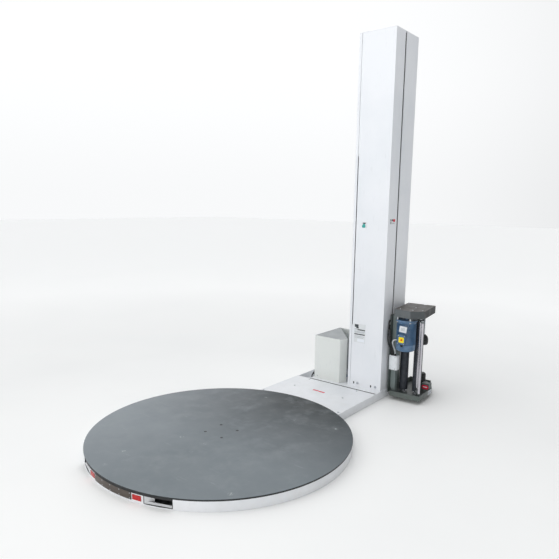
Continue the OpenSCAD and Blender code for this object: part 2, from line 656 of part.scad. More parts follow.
// Dancer arms on a pivot tube round the idler's shaft, and the rollers
module dancer_arm() color("darkslategray") {
    for (z = [dancer_low, dancer_high]) difference() {
        translate([0, 0, z]) linear_extrude(arm_plate_t) hull() {
            translate(idler_at) circle(r = 14);
            translate(dancer_at) circle(r = 11);
        }
        disc(5 + fit, z - 1, arm_plate_t + 2, idler_at);
        disc(5 + fit, z - 1, arm_plate_t + 2, dancer_at);
    }
}
module dancer_roller() color("silver") {
    low = dancer_low + arm_plate_t + 0.5;
    disc(idler_r, low, dancer_high - 0.5 - low, dancer_at);
    disc(5, dancer_low, dancer_high + arm_plate_t - dancer_low, dancer_at);
}
module idler_roller() color("silver") {
    low = dancer_low + arm_plate_t + 0.5;
    disc(idler_r, low, dancer_high - 0.5 - low, idler_at);
    disc(5, tray_floor + gap, box_plate_z - tray_floor - 2 * gap, idler_at);
}
// Film core holders
module lower_core_holder() color("black") {
    disc(core_r + 22, core_z, core_flange_t, film_at);
    disc(core_r, core_z, core_h + core_flange_t, film_at);
    disc(12, tray_floor + gap, 6, film_at);
}
module upper_core_slide() color("gray") {
    disc(slide_r, upper_z + 4, box_plate_z + 30 - upper_z, film_at);
    disc(slide_r + 5, box_z + gap, 6, film_at);
}
module upper_core_holder() color("black") difference() {
    translate([film_at[0], film_at[1], upper_z]) rotate_extrude() polygon([[0, 0], [core_r - 7, 0],
        [core_r - 3, 6], [core_r, 20], [core_r, upper_h - 32], [core_r - 4, upper_h - 16],
        [core_r - 12, upper_h - 3], [core_r - 22, upper_h + 6], [0, upper_h + 8]]);
    disc(slide_r + fit, upper_z - 1, upper_h + 12, film_at);
}

// Door in the mast's back with its hinge knuckles
module cabinet_door() color("whitesmoke") difference() {
    union() {
        block([door_x[0] + door_gap, mast_back - mast_t, door_z[0] + door_gap],
            [door_x[1] - door_gap, mast_back, door_z[1] - door_gap]);
        for (z = hinge_zs) translate([0, 0, z + hinge_h / 3]) {
            disc(hinge_r, 0.3, hinge_h / 3 - 0.6, [hinge_x, hinge_y]);
            block([hinge_x, mast_back, 0.3], [hinge_x + 24, mast_back + 2, hinge_h / 3 - 0.3]);
        }
    }
    for (z = hinge_zs) disc(hinge_pin_r + fit, z - 1, hinge_h + 2, [hinge_x, hinge_y]);
}
module control_panel() color("silver") {
    difference() {
        block([panel_x[0], mast_back, panel_z[0]], [panel_x[1], mast_back + panel_t, panel_z[1]]);
        for (x = button_xs) along_y([x, mast_back + 4, button_z], button_r + 0.5, panel_t);
        block([panel_x[0] + 18, mast_back + panel_t - 4, panel_z[1] - 105],
            [panel_x[1] - 18, mast_back + panel_t + 1, panel_z[1] - 18]);
    }
    block([switch_x - 32, mast_back, switch_z - 32], [switch_x + 32, mast_back + 4, switch_z + 32]);
}
module main_switch() color("red") {
    along_y([switch_x, mast_back + 4 + gap, switch_z], 22, 10);
    block([switch_x - 6, mast_back + 14, switch_z - 20], [switch_x + 6, mast_back + 30, switch_z + 20]);
}
module push_button(x, head_r, head_h) {
    along_y([x, mast_back + 4 + button_travel + 0.5, button_z], button_r, panel_t);
    along_y([x, mast_back + panel_t + button_travel + 0.5, button_z], head_r, head_h);
}
module estop_button() color("red") push_button(button_xs[2], 18, 14);
module start_button() color("green") push_button(button_xs[0], button_r, 4);
module stop_button() color("black") push_button(button_xs[1], button_r, 4);

ring_base();
fork_channels();
front_plate();
reflectors();
base_frame();
bridge_cover();
rear_deck();
fasteners();
centre_post();
wheel_brackets();
turntable_belt();
drive_gearmotor();
motor_cover();
mast_shell();
mast_front_cover();
mast_top_cap();
guide_rails();
lift_gearmotor();
lift_belt();
idler_bracket();
electrical_plate();
label_plates();
turntable_disc();
turntable_hub();
support_wheel(0);  // support_wheel_1
support_wheel(1);  // support_wheel_2
support_wheel(2);  // support_wheel_3
support_wheel(3);  // support_wheel_4
drive_pulley();
lift_drum();
lift_idler();
trolley();
carriage_back_plate();
carriage_column();
carriage_top_plate();
carriage_top_cover();
carriage_tray();
stretch_motor();
junction_box();
carriage_cables();
stretch_belt();
guide_roller(0);  // guide_roller_1
guide_roller(1);  // guide_roller_2
guide_roller(2);  // guide_roller_3
guide_roller(3);  // guide_roller_4
stretch_roller_1();
stretch_roller_2();
motor_pulley();
dancer_arm();
dancer_roller();
idler_roller();
lower_core_holder();
upper_core_slide();
upper_core_holder();
cabinet_door();
control_panel();
main_switch();
estop_button();
start_button();
stop_button();
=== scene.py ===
import json
import math

import bmesh
import bpy
from bpy.props import FloatProperty, FloatVectorProperty, PointerProperty, StringProperty
from mathutils import Matrix, Vector

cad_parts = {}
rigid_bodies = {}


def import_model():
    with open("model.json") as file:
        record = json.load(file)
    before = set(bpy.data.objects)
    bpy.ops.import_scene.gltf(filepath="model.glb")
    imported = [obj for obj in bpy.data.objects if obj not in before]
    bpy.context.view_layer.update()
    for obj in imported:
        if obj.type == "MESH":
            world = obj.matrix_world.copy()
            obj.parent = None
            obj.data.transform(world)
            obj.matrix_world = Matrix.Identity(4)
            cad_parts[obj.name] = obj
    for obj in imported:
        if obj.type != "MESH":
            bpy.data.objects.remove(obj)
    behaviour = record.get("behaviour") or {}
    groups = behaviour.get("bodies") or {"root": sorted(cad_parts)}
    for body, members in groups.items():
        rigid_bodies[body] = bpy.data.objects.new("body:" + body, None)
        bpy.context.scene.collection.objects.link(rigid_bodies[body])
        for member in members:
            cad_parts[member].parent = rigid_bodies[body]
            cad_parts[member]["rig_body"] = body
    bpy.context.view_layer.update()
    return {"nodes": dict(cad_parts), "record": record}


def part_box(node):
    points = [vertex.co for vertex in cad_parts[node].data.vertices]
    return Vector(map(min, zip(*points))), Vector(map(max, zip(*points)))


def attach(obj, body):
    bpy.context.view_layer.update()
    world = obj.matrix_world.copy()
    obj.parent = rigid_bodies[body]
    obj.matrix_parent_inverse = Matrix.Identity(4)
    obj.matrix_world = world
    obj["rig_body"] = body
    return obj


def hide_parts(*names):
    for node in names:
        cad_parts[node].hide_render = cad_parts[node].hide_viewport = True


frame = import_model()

bl_info = {
    "name": "Turntable pallet wrapper",
    "version": (1, 0, 0),
    "blender": (4, 5, 0),
    "location": "View3D > Sidebar > Wrapper",
    "description": "Finishes, fittings and studio for a turntable pallet wrapper",
    "category": "Object",
}

# ---------------------------------------------------------------- measures from the frame
MM = 0.001
FOIL_THICK = 0.0003
NODES = frame["nodes"]
SLOT_OF = {part["node"]: part["material_slot"] for part in frame["record"]["subparts"]}
BODY_OF = {node: obj["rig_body"] for node, obj in NODES.items()}
X, Y, Z = Vector((1, 0, 0)), Vector((0, 1, 0)), Vector((0, 0, 1))


def middle(node):
    """The centre of a node's box."""
    low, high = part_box(node)
    return (low + high) / 2


TABLE_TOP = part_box("turntable_disc")[1].z
SKIRT_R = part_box("ring_base")[1].x
DECK_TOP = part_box("bridge_cover")[1].z
MAST_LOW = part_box("mast_shell")[0]
MAST_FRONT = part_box("mast_front_cover")[0].y
MAST_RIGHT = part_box("mast_front_cover")[1].x
MAST_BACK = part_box("rear_deck")[1].y
SLOT_Y = middle("trolley").y
TRAY_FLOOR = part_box("carriage_back_plate")[0].z
PLATE_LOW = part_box("carriage_back_plate")[1].z
FILM = middle("lower_core_holder")


# ---------------------------------------------------------------- colours and nodes
def linear(code):
    """An sRGB hex value as linear RGBA."""
    parts = [int(code.lstrip("#")[i:i + 2], 16) / 255 for i in (0, 2, 4)]
    return [c / 12.92 if c <= 0.04045 else ((c + 0.055) / 1.055) ** 2.4 for c in parts] + [1.0]


def per_mm(size):
    """The texture scale at which one feature is that many millimetres across."""
    return 1 / (size * MM)


def add(tree, kind, inputs=None, **settings):
    """Adds a shader node with its settings, and sets or links its inputs. Returns its outputs."""
    node = tree.nodes.new("ShaderNode" + kind)
    for name, value in settings.items():
        setattr(node, name, value)
    for key, value in (inputs or {}).items():
        if isinstance(value, bpy.types.NodeSocket):
            tree.links.new(value, node.inputs[key])
        else:
            node.inputs[key].default_value = value
    return node.outputs


class Finish:
    """A material with its principled shader, its object coordinates and what its patterns share."""

    def __init__(self, name, base, roughness, metallic=0.0, **plain):
        self.material = bpy.data.materials.new(name)
        self.material.use_nodes = True
        self.material.diffuse_color = linear(base)
        self.tree = self.material.node_tree
        self.shader = self.tree.nodes["Principled BSDF"].inputs
        self.shader["Base Color"].default_value = linear(base)
        self.shader["Roughness"].default_value = roughness
        self.shader["Metallic"].default_value = metallic
        for socket, value in plain.items():
            self.shader[socket.replace("_", " ")].default_value = value
        self.place = add(self.tree, "TexCoord")["Object"]
        self.tone = linear(base)

    def cloud(self, size, detail=3.0, stretch=(1, 1, 1), roughness=0.5):
        """Soft noise with features of that size in millimetres, squeezed along the axes by stretch."""
        place = add(self.tree, "Mapping", {"Vector": self.place, "Scale": stretch})[0]
        return add(self.tree, "TexNoise", {"Vector": place, "Scale": per_mm(size), "Detail": detail,
                                           "Roughness": roughness})[0]

    def between(self, value, low, high, to_low=0.0, to_high=1.0):
        """The value's run from low to high spread over the run to_low to to_high."""
        return add(self.tree, "MapRange", {"Value": value, "From Min": low, "From Max": high,
                                           "To Min": to_low, "To Max": to_high})[0]

    def tint(self, share, code):
        """Lays another colour over the base where share is above 0."""
        self.tone = add(self.tree, "Mix", {0: share, 6: self.tone, 7: linear(code)}, data_type="RGBA")[2]
        self.tree.links.new(self.tone, self.shader["Base Color"])

    def patches(self, cloud, low, high, most, code):
        """Lays another colour over the base where the cloud is high. The cloud is given by its arguments."""
        self.tint(self.between(self.cloud(*cloud), low, high, 0.0, most), code)

    def gloss(self, cloud, smooth, dull):
        """Roughness that runs from smooth to dull where the cloud rises through its middle."""
        middle_low, middle_high = 0.3, 0.7
        rough = self.between(cloud, middle_low, middle_high, smooth, dull)
        self.tree.links.new(rough, self.shader["Roughness"])

    def relief(self, height, depth, strength=0.6):
        """Raises the surface by the height pattern, with the depth in millimetres."""
        under = self.shader["Normal"].links
        inputs = {"Height": height, "Distance": depth * MM, "Strength": strength}
        if under:
            inputs["Normal"] = under[0].from_socket
        self.tree.links.new(add(self.tree, "Bump", inputs)[0], self.shader["Normal"])

    def low_dust(self, top, most, code):
        """Dust that thins out from the floor up to that height in metres."""
        height = add(self.tree, "SeparateXYZ", {"Vector": self.place})["Z"]
        fade = self.between(height, 0.0, top, most, 0.0)
        patchy = add(self.tree, "Math", {0: fade, 1: self.cloud(60)}, operation="MULTIPLY")[0]
        self.tint(patchy, code)

    def shade_faces(self, axis, most, code, low=0.6):
        """Painted shade: lays the colour over the faces that look along the axis."""
        way = add(self.tree, "SeparateXYZ", {"Vector": add(self.tree, "TexCoord")["Normal"]})[axis]
        self.tint(self.between(way, low, 0.95, 0.0, most), code)


# ---------------------------------------------------------------- finishes
def white_powder_coat(name, code, shade, film=0.0):
    """Polyester powder coat on sheet steel, sprayed and baked: even satin white with a faint orange peel."""
    f = Finish(name, code, 0.4, IOR=1.5, Coat_Weight=0.15, Coat_Roughness=0.25)
    f.patches((420, 4), 0.42, 0.72, 0.8, shade)
    f.patches((18, 6, (1, 1, 0.2)), 0.62, 0.78, 0.25, "#C9CED1")
    f.low_dust(0.16, 0.35, "#B9B6AE")
    # Painted shade: the film share darkens the upward faces towards grey.
    if film:
        f.shade_faces("Z", film, "#7F8589")
    f.gloss(f.cloud(90), 0.34, 0.48)
    f.relief(f.cloud(2.6, 2), 0.05, 0.25)
    return f.material


def table_powder_coat(code):
    """Structured grey powder coat on the plate that pallets stand on: fine grain, scuffed in use."""
    f = Finish("grey_structured_powder_coat", code, 0.5, IOR=1.5)
    f.patches((520, 5), 0.35, 0.7, 0.35, "#6B7479")
    # Painted light and shade: the plate darkens towards the mast (+Y) and lightens towards the left (-X)
    along = add(f.tree, "SeparateXYZ", {"Vector": f.place})
    f.tint(f.between(along["Y"], -0.2, 0.75, 0.0, 1.0), "#262D30")
    f.tint(f.between(along["X"], 0.0, -0.8, 0.0, 0.55), "#9AA1A7")
    f.patches((150, 6, (1, 1, 1), 0.65), 0.5, 0.8, 0.35, "#949BA0")
    # Pallet runners rub long faint streaks, straighter than they are wide
    streak = f.cloud(26, 5, (0.14, 1.0, 1.0), 0.7)
    f.tint(f.between(streak, 0.64, 0.8, 0.0, 0.35), "#A6ADB1")
    # Nail heads and boards leave small bright scratches, drawn 6 mm wide so that they show
    chips = add(f.tree, "TexVoronoi", {"Vector": f.place, "Scale": per_mm(210)})["Distance"]
    near = f.between(chips, 0.0, 0.09, 1.0, 0.0)
    broken = f.between(f.cloud(9, 4), 0.52, 0.62)
    f.tint(add(f.tree, "Math", {0: near, 1: broken}, operation="MULTIPLY")[0], "#C4CACC")
    # Painted shade: the plate's edge below its top face is dark, as in the shadow under its rim
    f.tint(f.between(along["Z"], TABLE_TOP - 0.0021, TABLE_TOP - 0.0024), "#1E2224")
    f.gloss(f.cloud(120, 5), 0.46, 0.62)
    f.relief(f.cloud(1.6, 2), 0.06, 0.35)
    return f.material


def grey_powder_coat(code, name="dark_grey_powder_coat"):
    """Grey satin powder coat on the film carriage's plate and sheet parts, rubbed lighter in places."""
    f = Finish(name, code, 0.42, IOR=1.45)
    f.patches((160, 5), 0.4, 0.75, 0.5, "#6E7474")
    f.patches((14, 6, (1, 1, 0.3), 0.7), 0.62, 0.78, 0.4, "#8A9090")
    f.low_dust(0.12, 0.4, "#8E8B84")
    # Painted shade: the upward faces are darker.
    f.shade_faces("Z", 0.5, "#363C40")
    f.gloss(f.cloud(45), 0.34, 0.5)
    f.relief(f.cloud(1.8, 2), 0.05, 0.3)
    return f.material


def gear_cover_paint():
    """Brownish grey satin paint on the gears' cover, with painted shade: darker on its top and near black on
    its right side.
    """
    f = Finish("brown_grey_satin_paint", "#5E6467", 0.5, IOR=1.4)
    f.patches((110, 5), 0.4, 0.75, 0.5, "#6C6F70")
    # Painted shade: the upward faces are darker and the faces looking right are near black.
    f.shade_faces("Z", 0.85, "#55504D")
    f.shade_faces("X", 1.0, "#15181B", 0.4)
    f.gloss(f.cloud(35), 0.42, 0.6)
    f.relief(f.cloud(2.2, 2), 0.04, 0.3)
    return f.material


def motor_enamel(code):
    """Blue machine enamel brushed over cast aluminium: glossy, with the sand casting's grain beneath."""
    f = Finish("blue_machine_enamel", code, 0.32, IOR=1.52, Coat_Weight=0.35, Coat_Roughness=0.18)
    f.patches((60, 4), 0.4, 0.7, 0.6, "#365069")
    f.patches((9, 5), 0.62, 0.75, 0.35, "#7390A6")
    f.gloss(f.cloud(25), 0.26, 0.42)
    f.relief(f.cloud(3.0, 3), 0.12, 0.4)
    return f.material


def zinc_plating():
    """Bright zinc plating on rolled and turned steel: clear bluish metal with soft cloudy crystals."""
    f = Finish("zinc_plated_steel", "#C4C8CC", 0.32, 1.0)
    f.patches((12, 4), 0.35, 0.7, 0.6, "#A9AFB6")
    f.patches((55, 5), 0.58, 0.75, 0.4, "#B9B298")
    f.gloss(f.cloud(20, 4), 0.24, 0.44)
    f.relief(f.cloud(0.9, 2, (1, 1, 0.25)), 0.01, 0.3)
    return f.material


def hard_chrome():
    """Ground and hard chromed tube: a mirror with very fine rings from the grinding."""
    f = Finish("hard_chrome_plating", "#C6C4CA", 0.09, 1.0)
    f.patches((30, 3, (1, 1, 0.5)), 0.5, 0.8, 0.3, "#B8BCC2")
    f.gloss(f.cloud(3, 3, (0.2, 0.2, 1.0)), 0.07, 0.16)
    return f.material


def brushed_stainless(code):
    """Stainless sheet with a ground finish: long fine lines that spread reflections across them."""
    f = Finish("brushed_stainless_steel", code, 0.34, 1.0)
    lines = f.cloud(1.4, 3, (0.02, 0.02, 1.0))
    f.tint(f.between(lines, 0.35, 0.7, 0.0, 0.5), "#4F4A46")
    f.patches((130, 3), 0.4, 0.7, 0.6, "#7C756F")
    f.gloss(lines, 0.26, 0.44)
    f.relief(lines, 0.01, 0.3)
    return f.material


def ground_rubber(name, code, worn, ring_mm):
    """Rubber vulcanised on a core and ground round: dull, with fine rings and a chalky bloom."""
    f = Finish(name, code, 0.62, IOR=1.52)
    rings = f.cloud(ring_mm, 2, (0.1, 0.1, 1.0))
    f.patches((40, 5), 0.45, 0.75, 0.5, worn)
    f.tint(f.between(rings, 0.55, 0.75, 0.0, 0.25), worn)
    f.gloss(f.cloud(22, 4), 0.5, 0.75)
    f.relief(rings, 0.05, 0.4)
    return f.material


def moulded_plastic(name, code, roughness, grain_mm=0.8, ior=1.46):
    """Injection moulded plastic with a fine spark-eroded grain."""
    f = Finish(name, code, roughness, IOR=ior)
    f.patches((25, 4), 0.5, 0.8, 0.25, "#8C8F92")
    f.gloss(f.cloud(8, 4), roughness - 0.06, roughness + 0.08)
    f.relief(f.cloud(grain_mm, 2), 0.02, 0.4)
    return f.material


def cable_sheath(name, code, roughness):
    """Extruded soft PVC: smooth, slightly greasy, with dust that clings to it."""
    f = Finish(name, code, roughness, IOR=1.53)
    f.patches((14, 5), 0.5, 0.75, 0.35, "#77797A")
    f.gloss(f.cloud(10, 3), roughness - 0.08, roughness + 0.12)
    f.relief(f.cloud(1.2, 2), 0.03, 0.3)
    return f.material


def printed_foil(name, code, fade):
    """Vinyl foil with a clear laminate: flat colour, a little faded, with a soft shine."""
    f = Finish(name, code, 0.45, IOR=1.45, Coat_Weight=0.1, Coat_Roughness=0.2)
    f.patches((20, 3), 0.45, 0.75, 0.4, fade)
    f.relief(f.cloud(6, 2), 0.03, 0.3)
    return f.material


def prismatic_reflector():
    """Red acrylic reflector: corner cubes moulded in cells 5 mm across under a smooth face."""
    f = Finish("red_prismatic_acrylic", "#C80000", 0.2, IOR=1.49, Coat_Weight=0.15, Coat_Roughness=0.05)
    cells = add(f.tree, "TexVoronoi", {"Vector": f.place, "Scale": per_mm(5.5), "Randomness": 0.0})
    f.tint(f.between(cells["Distance"], 0.2, 0.62, 0.0, 0.6), "#8A0202")
    f.relief(cells["Distance"], 0.6, 0.6)
    return f.material


def display_glass():
    """Printed front glass of the operator panel: deep grey with a soft pane glow behind it."""
    f = Finish("display_front_glass", "#10161B", 0.08, IOR=1.52, Coat_Weight=1.0, Coat_Roughness=0.03)
    f.patches((35, 2), 0.4, 0.8, 0.4, "#26343D")
    return f.material


def pale_floor(code):
    """Sealed pale floor screed: flat and matt."""
    f = Finish("pale_sealed_screed", code, 0.75, IOR=1.45, Emission_Color=linear("#FFFFFF"))
    f.patches((900, 4), 0.4, 0.7, 0.12, "#E4E6E8")
    # Far from the machine it is lit from beneath like a studio sweep, so that no horizon shows
    away = add(f.tree, "VectorMath", {0: f.place}, operation="LENGTH")["Value"]
    f.tree.links.new(f.between(away, 2.2, 6.5, 0.0, 0.2), f.shader["Emission Strength"])
    return f.material


def make_finishes(colours):
    """Every finish by its name here."""
    enamel = white_powder_coat("white_powder_coat", colours.enamel, colours.enamel_shade)
    rubber = ground_rubber("ground_roller_rubber", colours.roller, "#4A5059", 4)
    return {
        "white_enamel": enamel,
        "black_oxide": ground_rubber("black_oxide_steel", "#2A2D30", "#55585B", 6),
        # The fork channels are dark grey all through, so that the pockets show dark inside.
        "dark_tunnel": moulded_plastic("dark_grey_tunnel", "#26292B", 0.6, 1.5, 1.5),
        # The motor cover's coat has painted shade on its upward faces.
        "cover_enamel": white_powder_coat("warm_white_powder_coat", colours.cover, "#D3D8D6", 0.9),
        "panel_metal": brushed_stainless("#6A635E"),
        "red_reflector": prismatic_reflector(),
        "zinc_steel": zinc_plating(),
        "belt_rubber": ground_rubber("neoprene_belt", "#1B1C1E", "#3A3C3F", 3),
        "motor_blue": motor_enamel(colours.motor),
        "label_plate": printed_foil("white_vinyl_foil", "#DDE1E4", "#CDD2D6"),
        "turntable_grey": table_powder_coat(colours.table),
        "wheel_polyurethane": ground_rubber("black_polyurethane", "#25272A", "#4B4D50", 5),
        "carriage_grey": grey_powder_coat(colours.carriage),
        "gear_cover": gear_cover_paint(),
        # The column gets a paler copy of the carriage's grey: painted light that lifts it out of the shade it
        # stands in.
        "column_painted_light": grey_powder_coat("#7F8C8B", "pale_grey_painted_light_coat"),
        "box_plastic": moulded_plastic("light_grey_abs", "#E1E5E9", 0.42),
        "cable_black": cable_sheath("black_pvc_sheath", "#17181A", 0.4),
        "conduit": cable_sheath("grey_pvc_conduit", "#C3C7CA", 0.45),
        "roller_rubber": rubber,
        "roller_chrome": hard_chrome(),
        "black_plastic": moulded_plastic("black_nylon", "#141517", 0.45),
        "red_plastic": moulded_plastic("red_polycarbonate", "#B3150F", 0.25, 2.0, 1.58),
        "green_plastic": moulded_plastic("green_polycarbonate", "#127A34", 0.25, 2.0, 1.58),
        "yellow_foil": printed_foil("yellow_vinyl_foil", "#F4DC1E", "#D9C21A"),
        "orange_foil": printed_foil("orange_vinyl_foil", "#E2541C", "#C44515"),
        "red_foil": printed_foil("red_vinyl_foil", "#D40A38", "#D93458"),
        "teal_foil": printed_foil("teal_vinyl_foil", "#1F9C97", "#37B0AA"),
        "pale_foil": printed_foil("pale_print_foil", "#E9EEF5", "#DDE4EC"),
        "dark_foil": printed_foil("dark_print_foil", "#3A4046", "#5B6268"),
        "grey_foil": printed_foil("grey_print_foil", "#A9AFB5", "#BCC1C6"),
        "glass": display_glass(),
    }


# ---------------------------------------------------------------- mesh building
def frame_at(at, up=Z, turn=0.0):
    """A place whose own Z axis points along up, turned about it by that many degrees."""
    tilt = Z.rotation_difference(Vector(up)).to_matrix().to_4x4()
    return Matrix.Translation(at) @ tilt @ Matrix.Rotation(math.radians(turn), 4, "Z")


def upright(place):
    """The place, turned if need be so that its X axis lies level."""
    if abs((place.to_3x3() @ X).z) > 0.5:
        return place @ Matrix.Rotation(math.pi / 2, 4, "Z")
    return place


def corners(half_x, half_y):
    """The four corners of a rectangle centred on the origin."""
    return [(sx * half_x, sy * half_y) for sx in (-1, 1) for sy in (-1, 1)]


def ring(inner, outer, low, high):
    """The closed profile of a plain ring."""
    return [(inner, low), (outer, low), (outer, high), (inner, high)]


def block_into(bm, low, high, place=Matrix()):
    """A box between two corners, given in the place's own axes."""
    low, high = Vector(low), Vector(high)
    for vert in bmesh.ops.create_cube(bm, size=1.0)["verts"]:
        share = vert.co + Vector((0.5, 0.5, 0.5))
        vert.co = place @ Vector([low[i] + share[i] * (high[i] - low[i]) for i in range(3)])


def prism_into(bm, outline, low, high, place=Matrix()):
    """An outline in the place's own XY plane, extruded from low to high."""
    rings = [[bm.verts.new(place @ Vector((x, y, z))) for x, y in outline] for z in (low, high)]
    bm.faces.new(rings[0])
    bm.faces.new(rings[1])
    for i in range(len(outline)):
        k = (i + 1) % len(outline)
        bm.faces.new((rings[0][i], rings[0][k], rings[1][k], rings[1][i]))


def turned_into(bm, profile, place=Matrix(), steps=48, closed=False):
    """A profile of (radius, height) points turned about the place's Z axis."""
    rings = []
    for radius, height in profile:
        count = steps if radius > 1e-6 else 1
        angles = [2 * math.pi * k / count for k in range(count)]
        rings.append([bm.verts.new(place @ Vector((radius * math.cos(a), radius * math.sin(a), height)))
                      for a in angles])
    pairs = list(zip(rings, rings[1:] + rings[:1] if closed else rings[1:]))
    for lower, upper in pairs:
        for k in range(steps):
            face = list(dict.fromkeys([lower[k % len(lower)], lower[(k + 1) % len(lower)],
                                       upper[(k + 1) % len(upper)], upper[k % len(upper)]]))
            if len(face) > 2:
                bm.faces.new(face)


def rounded_rod(radius, low, high, edge):
    """The profile of a closed rod with rounded ends."""
    arc = [(radius - edge + edge * math.sin(a), edge - edge * math.cos(a))
           for a in (0.0, math.pi / 6, math.pi / 3, math.pi / 2)]
    return ([(0, low)] + [(r, low + h) for r, h in arc]
            + [(r, high - h) for r, h in reversed(arc)] + [(0, high)])


def rounded_rect(width, height, radius, steps=4):
    """An outline centred on the origin with rounded corners."""
    points = []
    for quarter, (sx, sy) in enumerate(((1, 1), (-1, 1), (-1, -1), (1, -1))):
        for k in range(steps + 1):
            a = math.radians(90 * quarter + 90 * k / steps)
            points.append((sx * (width / 2 - radius) + radius * math.cos(a),
                           sy * (height / 2 - radius) + radius * math.sin(a)))
    return points


def hexagon(across):
    """A hexagon's outline from its size across flats."""
    reach = across / math.sqrt(3)
    turns = [math.radians(60 * k) for k in range(6)]
    return [(reach * math.cos(a), reach * math.sin(a)) for a in turns]


def hex_bolt_into(bm, at, up, thread):
    """A hexagon head with a chamfered top on a washer, for a thread of that size."""
    place = frame_at(at, up)
    washer = 0.15 * thread
    turned_into(bm, rounded_rod(1.05 * thread, 0, washer, 0.05 * thread), place, 28)
    prism_into(bm, hexagon(1.6 * thread), washer, washer + 0.55 * thread, place)
    turned_into(bm, [(0.72 * thread, washer + 0.5 * thread), (0.62 * thread, washer + 0.65 * thread),
                     (0, washer + 0.65 * thread)], place, 24)


def socket_screw_into(bm, at, up, head):
    """A domed socket screw: rounded head with a hexagon recess modelled into it."""
    place = frame_at(at, up)
    tall = 0.35 * head
    recess = hexagon(0.5 * head)
    depth = 0.55 * tall
    dome = [(head / 2, 0), (head / 2, 0.35 * tall), (0.42 * head, 0.75 * tall), (0.34 * head, tall)]
    turned_into(bm, dome, place, 24)
    rim = [bm.verts.new(place @ Vector((0.34 * head * math.cos(2 * math.pi * k / 24),
                                        0.34 * head * math.sin(2 * math.pi * k / 24), tall)))
           for k in range(24)]
    lip = [bm.verts.new(place @ Vector((x, y, tall))) for x, y in recess]
    foot = [bm.verts.new(place @ Vector((x, y, tall - depth))) for x, y in recess]
    for side in range(6):
        near, far = lip[side], lip[(side + 1) % 6]
        arc = [rim[(side * 4 + k) % 24] for k in range(5)]
        bm.faces.new([near] + arc + [far])
        bm.faces.new((near, far, foot[(side + 1) % 6], foot[side]))
    bm.faces.new(foot)


def smooth_route(points, parts=6):
    """A curve through the points, with that many steps between two of them."""
    points = [Vector(p) for p in points]
    route = []
    for i in range(len(points) - 1):
        a, b, c, d = (points[max(i - 1, 0)], points[i], points[i + 1], points[min(i + 2, len(points) - 1)])
        for k in range(parts):
            u = k / parts
            route.append(0.5 * (2 * b + u * (c - a) + u * u * (2 * a - 5 * b + 4 * c - d)
                                + u ** 3 * (3 * b - a - 3 * c + d)))
    return route + [points[-1]]


def swept_into(bm, route, radius_at, steps=12):
    """A round tube along a route. radius_at gives its radius for the step number."""
    ahead = (route[1] - route[0]).normalized()
    side = ahead.orthogonal().normalized()
    rings = []
    for i, at in enumerate(route):
        turn = (route[min(i + 1, len(route) - 1)] - route[max(i - 1, 0)]).normalized()
        side = (side - turn * side.dot(turn)).normalized()
        other = turn.cross(side)
        rings.append([bm.verts.new(at + radius_at(i) * (math.cos(a) * side + math.sin(a) * other))
                      for a in [2 * math.pi * k / steps for k in range(steps)]])
    for lower, upper in zip(rings, rings[1:]):
        for k in range(steps):
            bm.faces.new((lower[k], lower[(k + 1) % steps], upper[(k + 1) % steps], upper[k]))
    bm.faces.new(rings[0])
    bm.faces.new(rings[-1])


def soften(obj, edge, sharp=32.0):
    """Smooth shading with flat faces kept flat, and round edges of that radius."""
    mesh = obj.data
    mesh.polygons.foreach_set("use_smooth", [True] * len(mesh.polygons))
    if edge:
        bevel = obj.modifiers.new("Rounded edges", "BEVEL")
        bevel.width = edge
        bevel.segments = 2
        bevel.limit_method = "ANGLE"
        bevel.angle_limit = math.radians(sharp)
    else:
        mesh.set_sharp_from_angle(angle=math.radians(sharp))
    even = obj.modifiers.new("Flat faces", "WEIGHTED_NORMAL")
    even.keep_sharp = True


def piece(name, bm, finish, body, edge=0.0, stands_for=()):
    """Turns the built mesh into a piece on a body. Its slot is the finish's own."""
    bmesh.ops.recalc_face_normals(bm, faces=bm.faces)
    mesh = bpy.data.meshes.new(name)
    bm.to_mesh(mesh)
    bm.free()
    obj = bpy.data.objects.new(name, mesh)
    bpy.context.scene.collection.objects.link(obj)
    mesh.materials.append(FINISHES[finish])
    soften(obj, edge)
    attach(obj, body)
    if stands_for:
        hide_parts(*stands_for)


def single(name, finish, body, build, *shape, slot=None, edge=0.0, **more):
    """A piece that is one shape, made by one of the functions above."""
    bm = bmesh.new()
    build(bm, *shape, **more)
    piece(name, bm, finish, body, edge)


def foil(name, at, across, up, size, finish, body, raised=0.0, corner=0.12):
    """A stuck-on foil: its low left corner, its two directions, its size and its corners' share of it."""
    across, up = Vector(across).normalized(), Vector(up).normalized()
    out = across.cross(up)
    place = Matrix((across, up, out)).transposed().to_4x4()
    place.translation = Vector(at) + out * raised + across * size[0] / 2 + up * size[1] / 2
    outline = rounded_rect(size[0], size[1], min(size) * corner, 6 if corner > 0.2 else 3)
    single(name, finish, body, prism_into, outline, 0, FOIL_THICK, place, slot="label_plate")


# ---------------------------------------------------------------- what a user may change
def colour(name, description, default):
    """A colour given as an sRGB hex value."""
    return StringProperty(name=name, description=description, default=default)


def length(name, description, default, low, high):
    """A length in metres."""
    return FloatProperty(name=name, description=description, default=default, min=low, max=high,
                         unit="LENGTH")


def angle(name, description, degrees):
    """An angle that is written here in degrees."""
    return FloatProperty(name=name, description=description, default=math.radians(degrees), unit="ROTATION")


def power(name, description, default):
    """A light's power in watts, or the strength of the room's light."""
    return FloatProperty(name=name, description=description, default=default, min=0)


class WrapperColours(bpy.types.PropertyGroup):
    """Colours of the main finishes as sRGB hex values"""
    enamel: colour("White enamel", "Powder coat of mast and base", "#E9ECF1")
    enamel_shade: colour("White shade", "Cloudy variation of the white powder coat", "#DFE4EA")
    cover: colour("Motor cover", "Powder coat of the motor cover", "#E0E4E2")
    table: colour("Turntable", "Powder coat of the turntable plate", "#757E84")
    carriage: colour("Carriage", "Powder coat of the film carriage", "#4C5755")
    motor: colour("Motor", "Enamel of the motors", "#527496")
    roller: colour("Roller", "Rubber of the stretch rollers", "#2E333B")
    floor: colour("Floor", "Studio floor", "#FBFCFC")


